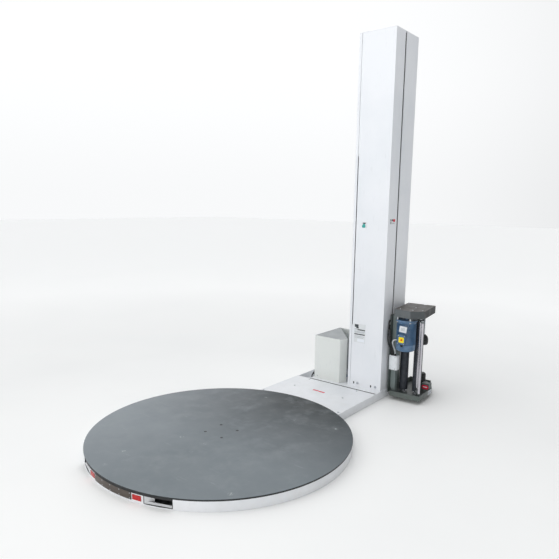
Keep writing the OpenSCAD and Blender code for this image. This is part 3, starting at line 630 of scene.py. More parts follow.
class WrapperSizes(bpy.types.PropertyGroup):
    """Sizes of the fittings that the scene adds"""
    sheet_edge: length("Sheet edge", "Edge radius of the sheet parts", 0.0012, 0.0002, 0.003)
    cast_edge: length("Cast edge", "Edge radius of cast and machined parts", 0.002, 0.0005, 0.004)
    screw_head: length("Screw head", "Head diameter of the cover screws", 0.011, 0.006, 0.016)
    cable_d: length("Cable", "Outside diameter of the control cables", 0.010, 0.006, 0.012)
    motor_ribs: length("Rib height", "Height of the stretch motor's cooling ribs", 0.007, 0.003, 0.010)


class WrapperStudio(bpy.types.PropertyGroup):
    """Camera and lights"""
    camera_at: FloatVectorProperty(name="Camera", description="Place of the camera",
                                   default=(2.334, -2.372, 1.490), unit="LENGTH")
    yaw: angle("Yaw", "Camera's turn to the left of +Y", 38.48)
    pitch: angle("Pitch", "Camera's tilt below the horizon", 10.09)
    roll: angle("Roll", "Camera's roll", 0.747)
    lens: FloatProperty(name="Lens", description="Focal length in millimetres on a 36 mm sensor",
                        default=35.75)
    shift_x: FloatProperty(name="Shift across", description="Sideways shift of the view", default=0.0015)
    shift_y: FloatProperty(name="Shift up", description="Upward shift of the view", default=0.0405)
    key: power("Key light", "Power of the front softbox in watts", 34.0)
    top: power("Top light", "Power of the ceiling softbox in watts", 48.0)
    fill: power("Fill light", "Power of the right softbox in watts", 100.0)
    sky_left: power("Left room light", "Strength of the room's light from the left", 1.04)
    sky_right: power("Right room light", "Strength of the room's light from the right", 0.26)


class WrapperScene(bpy.types.PropertyGroup):
    """Everything that the wrapper's panel shows"""
    colours: PointerProperty(type=WrapperColours)
    sizes: PointerProperty(type=WrapperSizes)
    studio: PointerProperty(type=WrapperStudio)


FINISHES = {}


# ---------------------------------------------------------------- operators
class FrameFinishes(bpy.types.Operator):
    """Gives every part of the frame its finish and its rounded edges"""
    bl_idname = "wrapper.frame_finishes"
    bl_label = "Frame finishes"

    SHEET = ("bridge_cover", "rear_deck", "motor_cover", "mast_shell", "mast_front_cover", "mast_top_cap",
             "carriage_top_cover", "carriage_tray", "carriage_column", "carriage_back_plate", "cabinet_door",
             "fork_channels", "base_frame", "ring_base", "label_plates", "junction_box")
    CAST = ("turntable_disc", "trolley", "control_panel", "dancer_arm", "carriage_top_plate", "main_switch",
            "estop_button", "start_button", "stop_button", "lift_gearmotor", "drive_gearmotor",
            "electrical_plate", "idler_bracket")
    OWN = {"motor_cover": "cover_enamel", "fork_channels": "dark_tunnel",
           "turntable_hub": "black_oxide", "carriage_top_cover": "gear_cover",
           "carriage_column": "column_painted_light"}
    FACET = math.radians(0.3)
    SEAM = 0.00002

    def execute(self, context):
        sizes = context.scene.wrapper.sizes
        FINISHES.update(make_finishes(context.scene.wrapper.colours))
        for node, obj in NODES.items():
            finish = FINISHES[self.OWN.get(node, SLOT_OF[node])]
            obj.data.materials.clear()
            obj.data.materials.append(finish)
            if node in self.SHEET:
                self.round_edges(obj, sizes.sheet_edge)
            if node in self.CAST:
                self.round_edges(obj, sizes.cast_edge)
        return {"FINISHED"}

    def round_edges(self, obj, edge):
        """Joins the mesh's seams and flat faces with modifiers, then rounds what stays sharp."""
        weld = obj.modifiers.new("Closed seams", "WELD")
        weld.merge_threshold = self.SEAM
        flat = obj.modifiers.new("Whole faces", "DECIMATE")
        flat.decimate_type = "DISSOLVE"
        flat.angle_limit = self.FACET
        soften(obj, edge)


class TurntableTrim(bpy.types.Operator):
    """Adds painted shade in the hub's screw recesses and under the table's rim, and the skirt's pocket lips
    and plate rivets
    """
    bl_idname = "wrapper.turntable_trim"
    bl_label = "Turntable trim"

    LIP_DEEP = 0.045
    LIP_SIDE = 0.026
    FOOT_DEEP = 0.012
    FOOT_TALL = 0.006
    SHEET = 0.0015

    def execute(self, context):
        self.hub_recess_shades()
        self.pocket_lips()
        self.plate_rivets()
        self.rim_shade_band()
        return {"FINISHED"}

    def rim_shade_band(self):
        """A black band round the top of the skirt, with a deeper apron across the front: painted shade for
        the shadow under the table's rim.
        """
        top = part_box("ring_base")[1].z
        bm = bmesh.new()
        turned_into(bm, ring(SKIRT_R - 0.003, SKIRT_R + 0.0012, top + 0.0004, top + 0.0030), steps=180,
                    closed=True)
        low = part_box("front_plate")[1].z
        reach = math.asin(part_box("fork_channels")[1].x / SKIRT_R)
        inner, outer = SKIRT_R + 0.0002, SKIRT_R + 0.0012
        count = 48
        rings = []
        for k in range(count + 1):
            a = -reach + 2 * reach * k / count
            out = Vector((math.sin(a), -math.cos(a), 0))
            rings.append([bm.verts.new(out * r + Z * z) for r, z in
                          ((inner, low), (outer, low), (outer, top + 0.0003), (inner, top + 0.0003))])
        for first, second in zip(rings, rings[1:]):
            for k in range(4):
                bm.faces.new((first[k], first[(k + 1) % 4], second[(k + 1) % 4], second[k]))
        bm.faces.new(rings[0])
        bm.faces.new(rings[-1])
        piece("rim_shade_band", bm, "belt_rubber", "root")

    def hub_recess_shades(self):
        """Flat black hexagons on the four countersunk screws: painted shade for their socket recesses."""
        pitch = 0.1
        bm = bmesh.new()
        for k in range(4):
            a = math.radians(45 + 90 * k)
            at = Vector((pitch * math.cos(a), pitch * math.sin(a), TABLE_TOP - 0.0006))
            prism_into(bm, hexagon(0.008), 0, 0.0007, frame_at(at))
        piece("hub_screw_recess_shades", bm, "black_plastic", "turntable")

    def pocket_lips(self):
        """Folded lips that lead a fork into each pocket: slanted sheets at its foot and inner side."""
        low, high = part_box("fork_channels")
        wall = 0.004
        top = high.z - wall
        foot = low.z + wall
        width = 0.150
        for side, name in ((1, "right"), (-1, "left")):
            inner = side * (high.x - width) + side * wall
            outer = side * (high.x - wall)
            bm = bmesh.new()
            front = {x: -math.sqrt((SKIRT_R - 0.001) ** 2 - x * x) for x in (inner, outer)}
            deep = {x: front[x] + self.LIP_DEEP for x in (inner, outer)}
            slant = inner + side * self.LIP_SIDE
            side_sheet = [(inner, front[inner], foot), (inner, front[inner], top),
                          (slant, deep[inner], top), (slant, deep[inner], foot)]
            back = {x: front[x] + self.FOOT_DEEP for x in (inner, outer)}
            rise = foot + self.FOOT_TALL
            foot_sheet = [(inner, front[inner], foot), (outer, front[outer], foot),
                          (outer, back[outer], rise), (inner, back[inner], rise)]
            for sheet in (side_sheet, foot_sheet):
                verts = [bm.verts.new(p) for p in sheet]
                face = bm.faces.new(verts)
                bm.normal_update()
                away = face.normal * self.SHEET
                if away.z < 0 or away.x * side < 0:
                    away = -away
                behind = [bm.verts.new(v.co + away) for v in verts]
                bm.faces.new(behind)
                for i in range(4):
                    k = (i + 1) % 4
                    bm.faces.new((verts[i], verts[k], behind[k], behind[i]))
            piece(f"pocket_lip_{name}", bm, "white_enamel", "root")

    def plate_rivets(self):
        """Domed rivets along the plate between the pockets."""
        low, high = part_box("front_plate")
        radius = SKIRT_R + 0.002
        bm = bmesh.new()
        half = math.asin(high.x / radius) - math.radians(0.8)
        for k in range(5):
            a = -half + half * 2 * k / 4
            out = Vector((math.sin(a), -math.cos(a), 0))
            for z in (low.z + 0.006, high.z - 0.006):
                turned_into(bm, [(0.003, 0), (0.0028, 0.0006), (0.0018, 0.0011), (0, 0.0013)],
                            frame_at(out * radius + Z * z, out), 16)
        piece("plate_rivets", bm, "zinc_steel", "root")


class BridgeFittings(bpy.types.Operator):
    """Adds the screws, the strip and the cable gland of the bridge and its motor cover"""
    bl_idname = "wrapper.bridge_fittings"
    bl_label = "Bridge fittings"

    def execute(self, context):
        head = context.scene.wrapper.sizes.screw_head
        cover_low, cover_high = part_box("motor_cover")
        bm = bmesh.new()
        socket_screw_into(bm, Vector((cover_low.x + 0.03, cover_low.y, cover_low.z + 0.02)), -Y, head)
        for z in (cover_low.z + 0.03, cover_high.z - 0.03):
            for y in (cover_low.y + 0.05, cover_high.y - 0.05):
                socket_screw_into(bm, Vector((cover_low.x, y, z)), -X, head)
        piece("motor_cover_screws", bm, "zinc_steel", "root")
        self.gap_shade(cover_low, cover_high)
        self.strip()
        self.gland(cover_low)
        self.seam_seal()
        return {"FINISHED"}

    def gap_shade(self, low, high):
        """A black profile on the cover's free edge beside the mast, with a bulb that closes the gap: painted
        shade for the dark gap between cover and mast.
        """
        edge = Vector((high.x, low.y + 0.065, 0))
        outline = [(-0.004, -0.001), (0.0004, -0.001), (0.0022, 0.002), (0.0042, 0.006), (0.0046, 0.010),
                   (0.0030, 0.013), (0.0, 0.014), (-0.004, 0.014)]
        single("cover_gap_shade", "belt_rubber", "root", prism_into, outline, low.z + 0.001, high.z - 0.006,
               Matrix.Translation(edge))

    def strip(self):
        """A plain red foil strip on the bridge cover, in two pieces that step down."""
        for k, (x, y, long) in enumerate(((-0.034, 1.044, 0.052), (0.022, 1.040, 0.055))):
            foil(f"bridge_strip_{k + 1}", (x, y, DECK_TOP), X, Y, (long, 0.018), "red_foil", "root")

    def gland(self, cover_low):
        """The cable gland and its angle beside the motor cover, on the frame's open pan."""
        at = Vector((cover_low.x - 0.052, cover_low.y + 0.09, 0.006))
        bm = bmesh.new()
        block_into(bm, (-0.018, -0.002, 0), (0.018, 0.002, 0.085), frame_at(at))
        block_into(bm, (-0.018, -0.026, 0), (0.018, 0.002, 0.003), frame_at(at))
        piece("gland_angle", bm, "zinc_steel", "root", edge=0.0006)
        bm = bmesh.new()
        place = frame_at(at + Vector((0, -0.002, 0.062)), -Y)
        turned_into(bm, [(0.013, 0), (0.013, 0.008), (0.011, 0.009), (0.011, 0.02), (0.009, 0.027),
                         (0.0052, 0.029), (0.0052, 0)], place, 32, closed=True)
        prism_into(bm, hexagon(0.026), 0.002, 0.008, place)
        piece("gland_body", bm, "black_plastic", "root", edge=0.0004)
        start = at + Vector((0, -0.006, 0.062))
        route = smooth_route([start, start + Vector((0, -0.03, 0)), start + Vector((0.004, -0.05, -0.02)),
                              start + Vector((0.012, -0.045, -0.045)), start + Vector((0.02, -0.01, -0.05)),
                              start + Vector((0.03, 0.05, -0.05))])
        single("gland_cable", "cable_black", "root", swept_into, route, lambda i: 0.005)

    def seam_seal(self):
        """The dark rubber seal that stands out of the seam between bridge cover and rear deck."""
        low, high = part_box("rear_deck")
        seam = low.y - 0.001
        half = 0.0045
        side, crown = 0.001, 0.0024
        outline = [(-half, 0), (half, 0), (half, side), (half / 2, crown), (-half / 2, crown), (-half, side)]
        place = Matrix(((0, 0, 1, low.x + 0.004), (1, 0, 0, seam), (0, 1, 0, high.z), (0, 0, 0, 1)))
        single("seam_seal", "belt_rubber", "root", prism_into, outline, 0, high.x - low.x - 0.012, place)


class MastFittings(bpy.types.Operator):
    """Adds the mast's foot bolts, its back screws and its printed foils"""
    bl_idname = "wrapper.mast_fittings"
    bl_label = "Mast fittings"

    SLOT_HALF = 0.0070
    HEM_FOOT = 0.600
    PRINT = MAST_FRONT - 0.001

    def execute(self, context):
        sizes = context.scene.wrapper.sizes
        self.foot_bolts()
        self.back_screws(sizes.screw_head)
        self.data_foil()
        self.sign_foil()
        self.side_foil()
        self.slot_hems()
        return {"FINISHED"}

    def foot_bolts(self):
        """Bolts at the foot of the front, where the cover is held, and flat black slot shapes beside them:
        painted shade for the slot openings.
        """
        bolts, slot_shades = bmesh.new(), bmesh.new()
        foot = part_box("mast_front_cover")[0].z
        for x in (0.151, 0.305):
            prism_into(slot_shades, rounded_rect(0.020, 0.010, 0.0045), 0, 0.0004,
                       frame_at(Vector((x, MAST_FRONT, foot + 0.014)), -Y, 90))
        for x in (0.186, 0.345):
            hex_bolt_into(bolts, Vector((x, MAST_FRONT, foot + 0.016)), -Y, 0.010)
        piece("cover_foot_slot_shades", slot_shades, "black_plastic", "root")
        piece("cover_foot_bolts", bolts, "zinc_steel", "root", edge=0.0003)

    def back_screws(self, head):
        """Screws along the mast's back edges and top."""
        low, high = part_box("mast_shell")
        bm = bmesh.new()
        for x in (MAST_LOW.x + 0.012, MAST_RIGHT - 0.012):
            for k in range(9):
                z = low.z + 0.08 + k * (high.z - low.z - 0.16) / 8
                socket_screw_into(bm, Vector((x, MAST_BACK, z)), Y, head)
        for z in (low.z + 0.08, high.z - 0.08):
            for y in (MAST_FRONT + 0.09, MAST_BACK - 0.09):
                socket_screw_into(bm, Vector((MAST_LOW.x, y, z)), -X, head)
        piece("mast_back_screws", bm, "zinc_steel", "root")

    def data_foil(self):
        """Blank blocks on the data plate: a dark mark, dark bars, pale rows and a faint field."""
        left = MAST_LOW.x + 0.044
        for k, (x, z, wide, tall, finish) in enumerate((
                (0.004, 0.540, 0.034, 0.022, "dark_foil"), (0.018, 0.530, 0.022, 0.011, "dark_foil"),
                (0.003, 0.520, 0.030, 0.006, "grey_foil"), (0.030, 0.516, 0.066, 0.009, "dark_foil"),
                (0.004, 0.504, 0.090, 0.004, "grey_foil"), (0.004, 0.496, 0.082, 0.004, "grey_foil"),
                (0.002, 0.480, 0.094, 0.008, "dark_foil"), (0.006, 0.466, 0.086, 0.003, "grey_foil"),
                (0.006, 0.456, 0.078, 0.003, "grey_foil"), (0.030, 0.424, 0.064, 0.024, "pale_foil"))):
            foil(f"data_block_{k + 1}", (left + x, self.PRINT, z), X, Z, (wide, tall), finish, "root")

    def sign_foil(self):
        """A teal block under a dark bar on the small sign."""
        left = MAST_LOW.x + 0.075
        foil("sign_field", (left + 0.003, self.PRINT, 1.316), X, Z, (0.030, 0.020), "teal_foil", "root",
             corner=0.4)
        foil("sign_neck", (left + 0.010, self.PRINT, 1.3365), X, Z, (0.020, 0.008), "teal_foil", "root")
        foil("sign_bar", (left + 0.010, self.PRINT, 1.3455), X, Z, (0.024, 0.009), "dark_foil", "root")

    def side_foil(self):
        """A dark mark, a dark bar, a red block and a grey row on the right side's plate."""
        face = MAST_RIGHT + 0.001
        for k, (y, z, wide, tall, finish, corner) in enumerate((
                (0.004, 0.024, 0.014, 0.013, "dark_foil", 0.5),
                (0.008, 0.002, 0.010, 0.020, "dark_foil", 0.3),
                (0.026, 0.024, 0.020, 0.012, "dark_foil", 0.12),
                (0.047, 0.018, 0.032, 0.019, "red_foil", 0.12),
                (0.034, 0.004, 0.034, 0.005, "grey_foil", 0.12))):
            foil(f"side_block_{k + 1}", (face, 1.385 + y, 1.347 + z), Y, Z, (wide, tall), finish,
                 "root", corner=corner)

    def slot_hems(self):
        """A black strip on the front edge of the side's slot, painted shade that widens the slot's dark line,
        and a rolled white hem on its rear edge.
        """
        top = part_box("mast_front_cover")[1].z - 0.012
        for name, side, finish in (("trim", -1, "belt_rubber"), ("hem", 1, "white_enamel")):
            outline = [(0.0, 0.0), (0.0, 0.0012), (side * 0.001, 0.0016), (side * 0.0035, 0.0016),
                       (side * 0.0045, 0.0)]
            edge = SLOT_Y + side * self.SLOT_HALF
            place = Matrix(((0, 1, 0, MAST_RIGHT), (1, 0, 0, edge), (0, 0, 1, 0), (0, 0, 0, 1)))
            single(f"slot_{name}", finish, "root", prism_into, outline, self.HEM_FOOT, top, place)


class StretchMotor(bpy.types.Operator):
    """Builds the flanged motor with its ribs, fan cowl, terminal box and nameplate"""
    bl_idname = "wrapper.stretch_motor"
    bl_label = "Stretch motor"

    RIBS = 40
    BOX_TURN = 274.0
    PLATE_TURN = 276.0

    def execute(self, context):
        low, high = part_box("stretch_motor")
        self.axis = Vector((middle("motor_pulley").x, middle("motor_pulley").y, 0))
        self.foot = low.z
        self.top = PLATE_LOW - 0.020
        self.reach = 0.073
        self.housing(context.scene.wrapper.sizes.motor_ribs)
        self.studs(high.z)
        self.terminal_box()
        self.nameplate()
        return {"FINISHED"}

    def around(self, degrees, radius, height, out=True):
        """A place on the motor's side, its Z axis pointing out of it."""
        a = math.radians(degrees)
        way = Vector((math.cos(a), math.sin(a), 0))
        return frame_at(self.axis + way * radius + Z * height, way if out else Z)

    def housing(self, rib):
        """Fan cowl, ribbed body and mounting flange, turned about the shaft."""
        r, z, top = self.reach, self.foot, self.top
        profile = [(0, z + 0.004), (0.030, z + 0.004), (0.034, z), (0.058, z), (0.066, z + 0.004),
                   (r - 0.001, z + 0.012), (r, z + 0.020), (r, z + 0.052), (r - 0.003, z + 0.056),
                   (r - rib, z + 0.058), (r - rib, top - 0.028), (r - 0.002, top - 0.024),
                   (r - 0.001, top - 0.014), (r + 0.005, top - 0.012), (r + 0.007, top - 0.010),
                   (r + 0.007, top - 0.002), (r + 0.005, top), (0.0135, top), (0.0135, PLATE_LOW + 0.008),
                   (0, PLATE_LOW + 0.008)]
        bm = bmesh.new()
        turned_into(bm, profile, Matrix.Translation(self.axis), 96)
        for k in range(self.RIBS):
            turn = 360 * k / self.RIBS
            wide, thin = 0.0014, 0.0008
            wedge = [(-0.002, -wide), (rib, -thin), (rib, thin), (-0.002, wide)]
            place = Matrix.Translation(self.axis) @ Matrix.Rotation(math.radians(turn), 4, "Z")
            prism_into(bm, [(r - rib + x, y) for x, y in wedge], z + 0.058, top - 0.027, place)
        piece("motor_housing", bm, "motor_blue", "carriage", stands_for=("stretch_motor",))
        # Flat black shapes on the cowl's foot: painted shade for its air openings.
        slot_shades = bmesh.new()
        for ring, count in ((0.040, 16), (0.052, 22)):
            for k in range(count):
                place = (Matrix.Translation(self.axis + Z * (z - 0.0002))
                         @ Matrix.Rotation(2 * math.pi * k / count, 4, "Z"))
                prism_into(slot_shades, [(ring + x, y) for x, y in rounded_rect(0.008, 0.004, 0.0018, 2)],
                           0, 0.0004, place)
        piece("motor_cowl_slot_shades", slot_shades, "black_plastic", "carriage")

    def studs(self, shaft_top):
        """Studs with spacers and nuts between the flange and the plate above."""
        bm = bmesh.new()
        for turn in (45, 135, 225, 315):
            place = self.around(turn, self.reach - 0.001, self.top, out=False)
            turned_into(bm, rounded_rod(0.006, -0.001, PLATE_LOW - self.top, 0.0006), place, 24)
            prism_into(bm, hexagon(0.014), 0.0, 0.006, place)
            prism_into(bm, hexagon(0.014), -0.020, -0.012, place)
        piece("motor_studs", bm, "zinc_steel", "carriage", edge=0.0003)

    def terminal_box(self):
        """Cast box with a screwed lid, its yellow foil and its gland."""
        place = upright(self.around(self.BOX_TURN, self.reach - 0.008, self.foot + 0.101))
        single("terminal_box_body", "motor_blue", "carriage", prism_into,
               rounded_rect(0.060, 0.074, 0.006), 0, 0.0285, place, edge=0.0012)
        single("terminal_box_lid", "motor_blue", "carriage", prism_into,
               rounded_rect(0.0595, 0.0735, 0.006), 0.0291, 0.0355, place, edge=0.0015)
        screws = bmesh.new()
        for x, y in corners(0.0245, 0.031):
            turned_into(screws, [(0.0035, 0), (0.0033, 0.0008), (0.002, 0.0012), (0, 0.0012)],
                        frame_at(place @ Vector((x, y, 0.0350)), place.to_3x3() @ Z), 20)
        piece("terminal_box_screws", screws, "zinc_steel", "carriage")
        out = place.to_3x3() @ Z
        side = Z.cross(out).normalized()
        face = place @ Vector((0, 0, 0.0357))
        foil("terminal_foil", face - side * 0.0175 - Z * 0.021, side, Z, (0.041, 0.042),
             "yellow_foil", "carriage")
        single("terminal_spot", "orange_foil", "carriage", turned_into,
               [(0.0085, 0), (0.0085, 0.0004), (0, 0.0004)],
               frame_at(face + side * 0.004 + out * 0.0003, out), 32, slot="label_plate")
        gland = bmesh.new()
        under = frame_at(place @ Vector((0, 0, 0.017)) - Z * 0.037, -Z)
        turned_into(gland, [(0, 0), (0.012, 0), (0.012, 0.008), (0.010, 0.009), (0.010, 0.016),
                            (0.007, 0.020), (0, 0.020)], under, 32)
        prism_into(gland, hexagon(0.024), 0.001, 0.007, under)
        piece("terminal_gland", gland, "black_plastic", "carriage", edge=0.0004)

    def nameplate(self):
        """Blank nameplate on a flat pad across the ribs, with four drive pins."""
        place = upright(self.around(self.PLATE_TURN, self.reach - 0.0045, self.foot + 0.176))
        single("nameplate_pad", "motor_blue", "carriage", prism_into,
               rounded_rect(0.062, 0.052, 0.003), 0, 0.0045, place, edge=0.0006)
        single("nameplate", "label_plate", "carriage", prism_into,
               rounded_rect(0.057, 0.047, 0.002), 0.0046, 0.0053, place)
        pins = bmesh.new()
        for x, y in corners(0.0255, 0.0205):
            turned_into(pins, [(0.0016, 0), (0.0012, 0.0006), (0, 0.0008)],
                        frame_at(place @ Vector((x, y, 0.0053)), place.to_3x3() @ Z), 16)
        piece("nameplate_pins", pins, "zinc_steel", "carriage")
        out = place.to_3x3() @ Z
        side = Z.cross(out).normalized()
        face = place @ Vector((0, 0, 0.0054))
        for k in range(3):
            foil(f"nameplate_row_{k + 1}", face - side * 0.016 + Z * (0.007 - 0.008 * k), side, Z,
                 (0.032, 0.003), "grey_foil", "carriage")


class Wiring(bpy.types.Operator):
    """Builds the cables between mast, junction box and motor, with their glands, conduit and ties"""
    bl_idname = "wrapper.wiring"
    bl_label = "Wiring"

    # A corrugated conduit's grooves as a share of its radius
    GROOVE = 0.86
    # Millimetres from the mast's right face, from the slot's middle and from the floor
    ROUTES = (
        ((6.5, -9, 610), (6.5, -42, 613), (9, -68, 602), (13, -84, 565), (14, -90, 510), (15, -86, 450),
         (24, -66, 400), (36, -56, 366), (36, -56, 343)),
        ((6.5, -9, 570), (6.5, -40, 573), (9, -64, 560), (24, -72, 530), (28, -74, 470), (34, -68, 420),
         (48, -58, 366), (48, -58, 343)),
        ((64, -56, 343), (64, -56, 366), (61, -61, 390), (57, -80, 424), (62, -104, 454), (78, -124, 476),
         (94, -134, 486), (107.7, -135.6, 488), (117.7, -134.9, 488)),
    )

    def execute(self, context):
        radius = context.scene.wrapper.sizes.cable_d / 2
        routes = []
        for route in self.ROUTES:
            points = [Vector((MAST_RIGHT + x * MM, SLOT_Y + y * MM, z * MM)) for x, y, z in route]
            routes.append(smooth_route(points, 8))
        black = bmesh.new()
        for route in routes[:2]:
            swept_into(black, route, lambda i: radius, 16)
        piece("control_cables", black, "cable_black", "carriage",
              stands_for=("carriage_cables",))
        single("motor_conduit", "conduit", "carriage", swept_into, smooth_route(routes[2], 4),
               lambda i: radius * (1.0 if i % 2 else self.GROOVE), 16, slot="cable_black")
        self.glands(routes, radius)
        self.ties(routes, radius)
        self.box_lid()
        return {"FINISHED"}

    def glands(self, routes, radius):
        """A gland with a dome nut where each cable enters the junction box."""
        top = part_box("junction_box")[1].z
        bm = bmesh.new()
        for at in (routes[0][-1], routes[1][-1], routes[2][0]):
            place = frame_at(Vector((at.x, at.y, top)))
            inner = radius + 0.0002
            turned_into(bm, [(inner, 0.0002), (inner + 0.0030, 0.0002), (inner + 0.0030, 0.007),
                             (inner + 0.0020, 0.008), (inner + 0.0020, 0.012), (inner + 0.0004, 0.015),
                             (inner, 0.015)], place, 28, closed=True)
        piece("box_glands", bm, "black_plastic", "carriage")

    def ties(self, routes, radius):
        """Nylon ties that hold the two cables together."""
        bm = bmesh.new()
        for share in (0.22, 0.5, 0.72):
            first = routes[0][int(share * (len(routes[0]) - 1))]
            nearest = min(routes[1], key=lambda p: (p - first).length)
            for at, route in ((first, routes[0]), (nearest, routes[1])):
                i = route.index(at)
                way = (route[min(i + 1, len(route) - 1)] - route[max(i - 1, 0)]).normalized()
                turned_into(bm, ring(radius + 0.0001, radius + 0.0013, -0.002, 0.002), frame_at(at, way), 24,
                            closed=True)
        piece("cable_ties", bm, "black_plastic", "carriage")

    def box_lid(self):
        """The junction box's lid line and corner screws."""
        low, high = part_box("junction_box")
        centre = (low + high) / 2
        width, height = high.x - low.x, high.z - low.z
        place = upright(frame_at(Vector((centre.x, low.y, centre.z)), -Y))
        bm = bmesh.new()
        for x, z in corners(width / 2 - 0.016, height / 2 - 0.010):
            turned_into(bm, [(0.0042, 0), (0.004, 0.0008), (0.003, 0.0013), (0, 0.0013)],
                        frame_at(place @ Vector((x, z, 0)), -Y), 20)
        piece("box_lid_screws", bm, "zinc_steel", "carriage")
        seam = bmesh.new()
        margin, thin = 0.012, 0.0004
        for z in (low.z - thin, high.z):
            block_into(seam, (low.x + margin, low.y + margin, z), (high.x - margin, low.y + 0.0135, z + thin))
        piece("box_lid_seam", seam, "dark_foil", "carriage")


class RollerFittings(bpy.types.Operator):
    """Adds flange bearings, nuts and the cover's screws to the roller carriage"""
    bl_idname = "wrapper.roller_fittings"
    bl_label = "Roller fittings"

    def execute(self, context):
        sizes = context.scene.wrapper.sizes
        self.bearings()
        self.roller_caps()
        self.arm_nuts()
        self.cover_screws(sizes.screw_head)
        self.tray_foils()
        return {"FINISHED"}

    def bearings(self):
        """Two-bolt flange bearings of the stretch rollers, on the tray and under the plate."""
        bm, bolts = bmesh.new(), bmesh.new()
        reach = 0.036
        for roller, turn in (("stretch_roller_1", -52), ("stretch_roller_2", -80)):
            at = middle(roller)
            for seat, way in ((TRAY_FLOOR, Z), (PLATE_LOW, -Z)):
                place = frame_at(Vector((at.x, at.y, seat)), way)
                turned_into(bm, [(0.0106, 0.0), (0.024, 0.0), (0.024, 0.004), (0.017, 0.005), (0.017, 0.010),
                                 (0.0150, 0.0112), (0.0106, 0.0112)], place, 40, closed=True)
                for a in (math.radians(turn), math.radians(turn + 180)):
                    out = Vector((math.cos(a), math.sin(a), 0))
                    side = Vector((-math.sin(a), math.cos(a), 0))
                    foot = Vector((at.x, at.y, seat))
                    half = [(0.020, 0.013), (reach, 0.010), (reach + 0.008, 0.006)]
                    ear = ([foot + out * far + side * wide for far, wide in half]
                           + [foot + out * far - side * wide for far, wide in reversed(half)])
                    prism_into(bm, [(v.x, v.y) for v in ear], *sorted((seat, seat + way.z * 0.004)))
                    hex_bolt_into(bolts, foot + out * reach + way * 0.004, way, 0.008)
        piece("roller_bearings", bm, "zinc_steel", "carriage", edge=0.0003)
        piece("roller_bearing_bolts", bolts, "roller_chrome", "carriage", edge=0.0002)

    def roller_caps(self):
        """Pressed end caps of the two rubber rollers."""
        for roller in ("stretch_roller_1", "stretch_roller_2"):
            low, high = TRAY_FLOOR + 0.016, PLATE_LOW - 0.012
            at = middle(roller)
            bm = bmesh.new()
            for end, way in ((low, -Z), (high, Z)):
                place = frame_at(Vector((at.x, at.y, end)), way)
                turned_into(bm, [(0.0145, -0.002), (0.0310, -0.002), (0.0310, 0.0008), (0.0290, 0.0014),
                                 (0.0145, 0.0014)], place, 48, closed=True)
            piece(f"{roller}_caps", bm, "zinc_steel", BODY_OF[roller])

    def arm_nuts(self):
        """Nuts on the dancer's shaft above its arm and on the idler's pivot."""
        arm_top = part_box("dancer_arm")[1].z
        bm = bmesh.new()
        for roller in ("dancer_roller", "idler_roller"):
            at = middle(roller)
            place = frame_at(Vector((at.x, at.y, arm_top)))
            if roller == "idler_roller":
                turned_into(bm, ring(0.0056, 0.0105, 0.0005, 0.007), place, 32, closed=True)
            else:
                prism_into(bm, hexagon(0.017), 0.0003, 0.008, place)
        piece("dancer_nuts", bm, "zinc_steel", "dancer_arm", edge=0.0004)

    def cover_screws(self, head):
        """Button head screws on the gear cover's top and side."""
        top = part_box("carriage_top_cover")[1].z
        bm = bmesh.new()
        for x, y in ((0.586, 1.439), (0.559, 1.550), (0.490, 1.432), (0.645, 1.480), (0.430, 1.700)):
            socket_screw_into(bm, Vector((x, y, top)), Z, head)
        piece("gear_cover_screws", bm, "zinc_steel", "carriage")

    def tray_foils(self):
        """A red foil on the tray's block and a pale one on the tray's right lip."""
        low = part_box("carriage_tray")[0]
        foil("tray_red_foil", (0.612, 1.622, 0.066), X, Z, (0.056, 0.034), "red_foil", "carriage",
             corner=0.5)
        foil("tray_red_bar", (0.622, 1.622, 0.080), X, Z, (0.034, 0.007), "label_plate", "carriage",
             raised=FOIL_THICK)
        start, end = Vector((0.688, 1.414, 0)), Vector((0.675, 1.672, 0))
        way = (end - start).normalized()
        foil("tray_pale_foil", start + way * 0.178 + Z * (low.z + 0.003), way, Z, (0.072, 0.033),
             "pale_foil", "carriage")
        for k in range(3):
            foil(f"tray_row_{k + 1}", start + way * (0.184 + 0.022 * k) + Z * (low.z + 0.007), way, Z,
                 (0.008, 0.025), "dark_foil", "carriage", raised=FOIL_THICK)


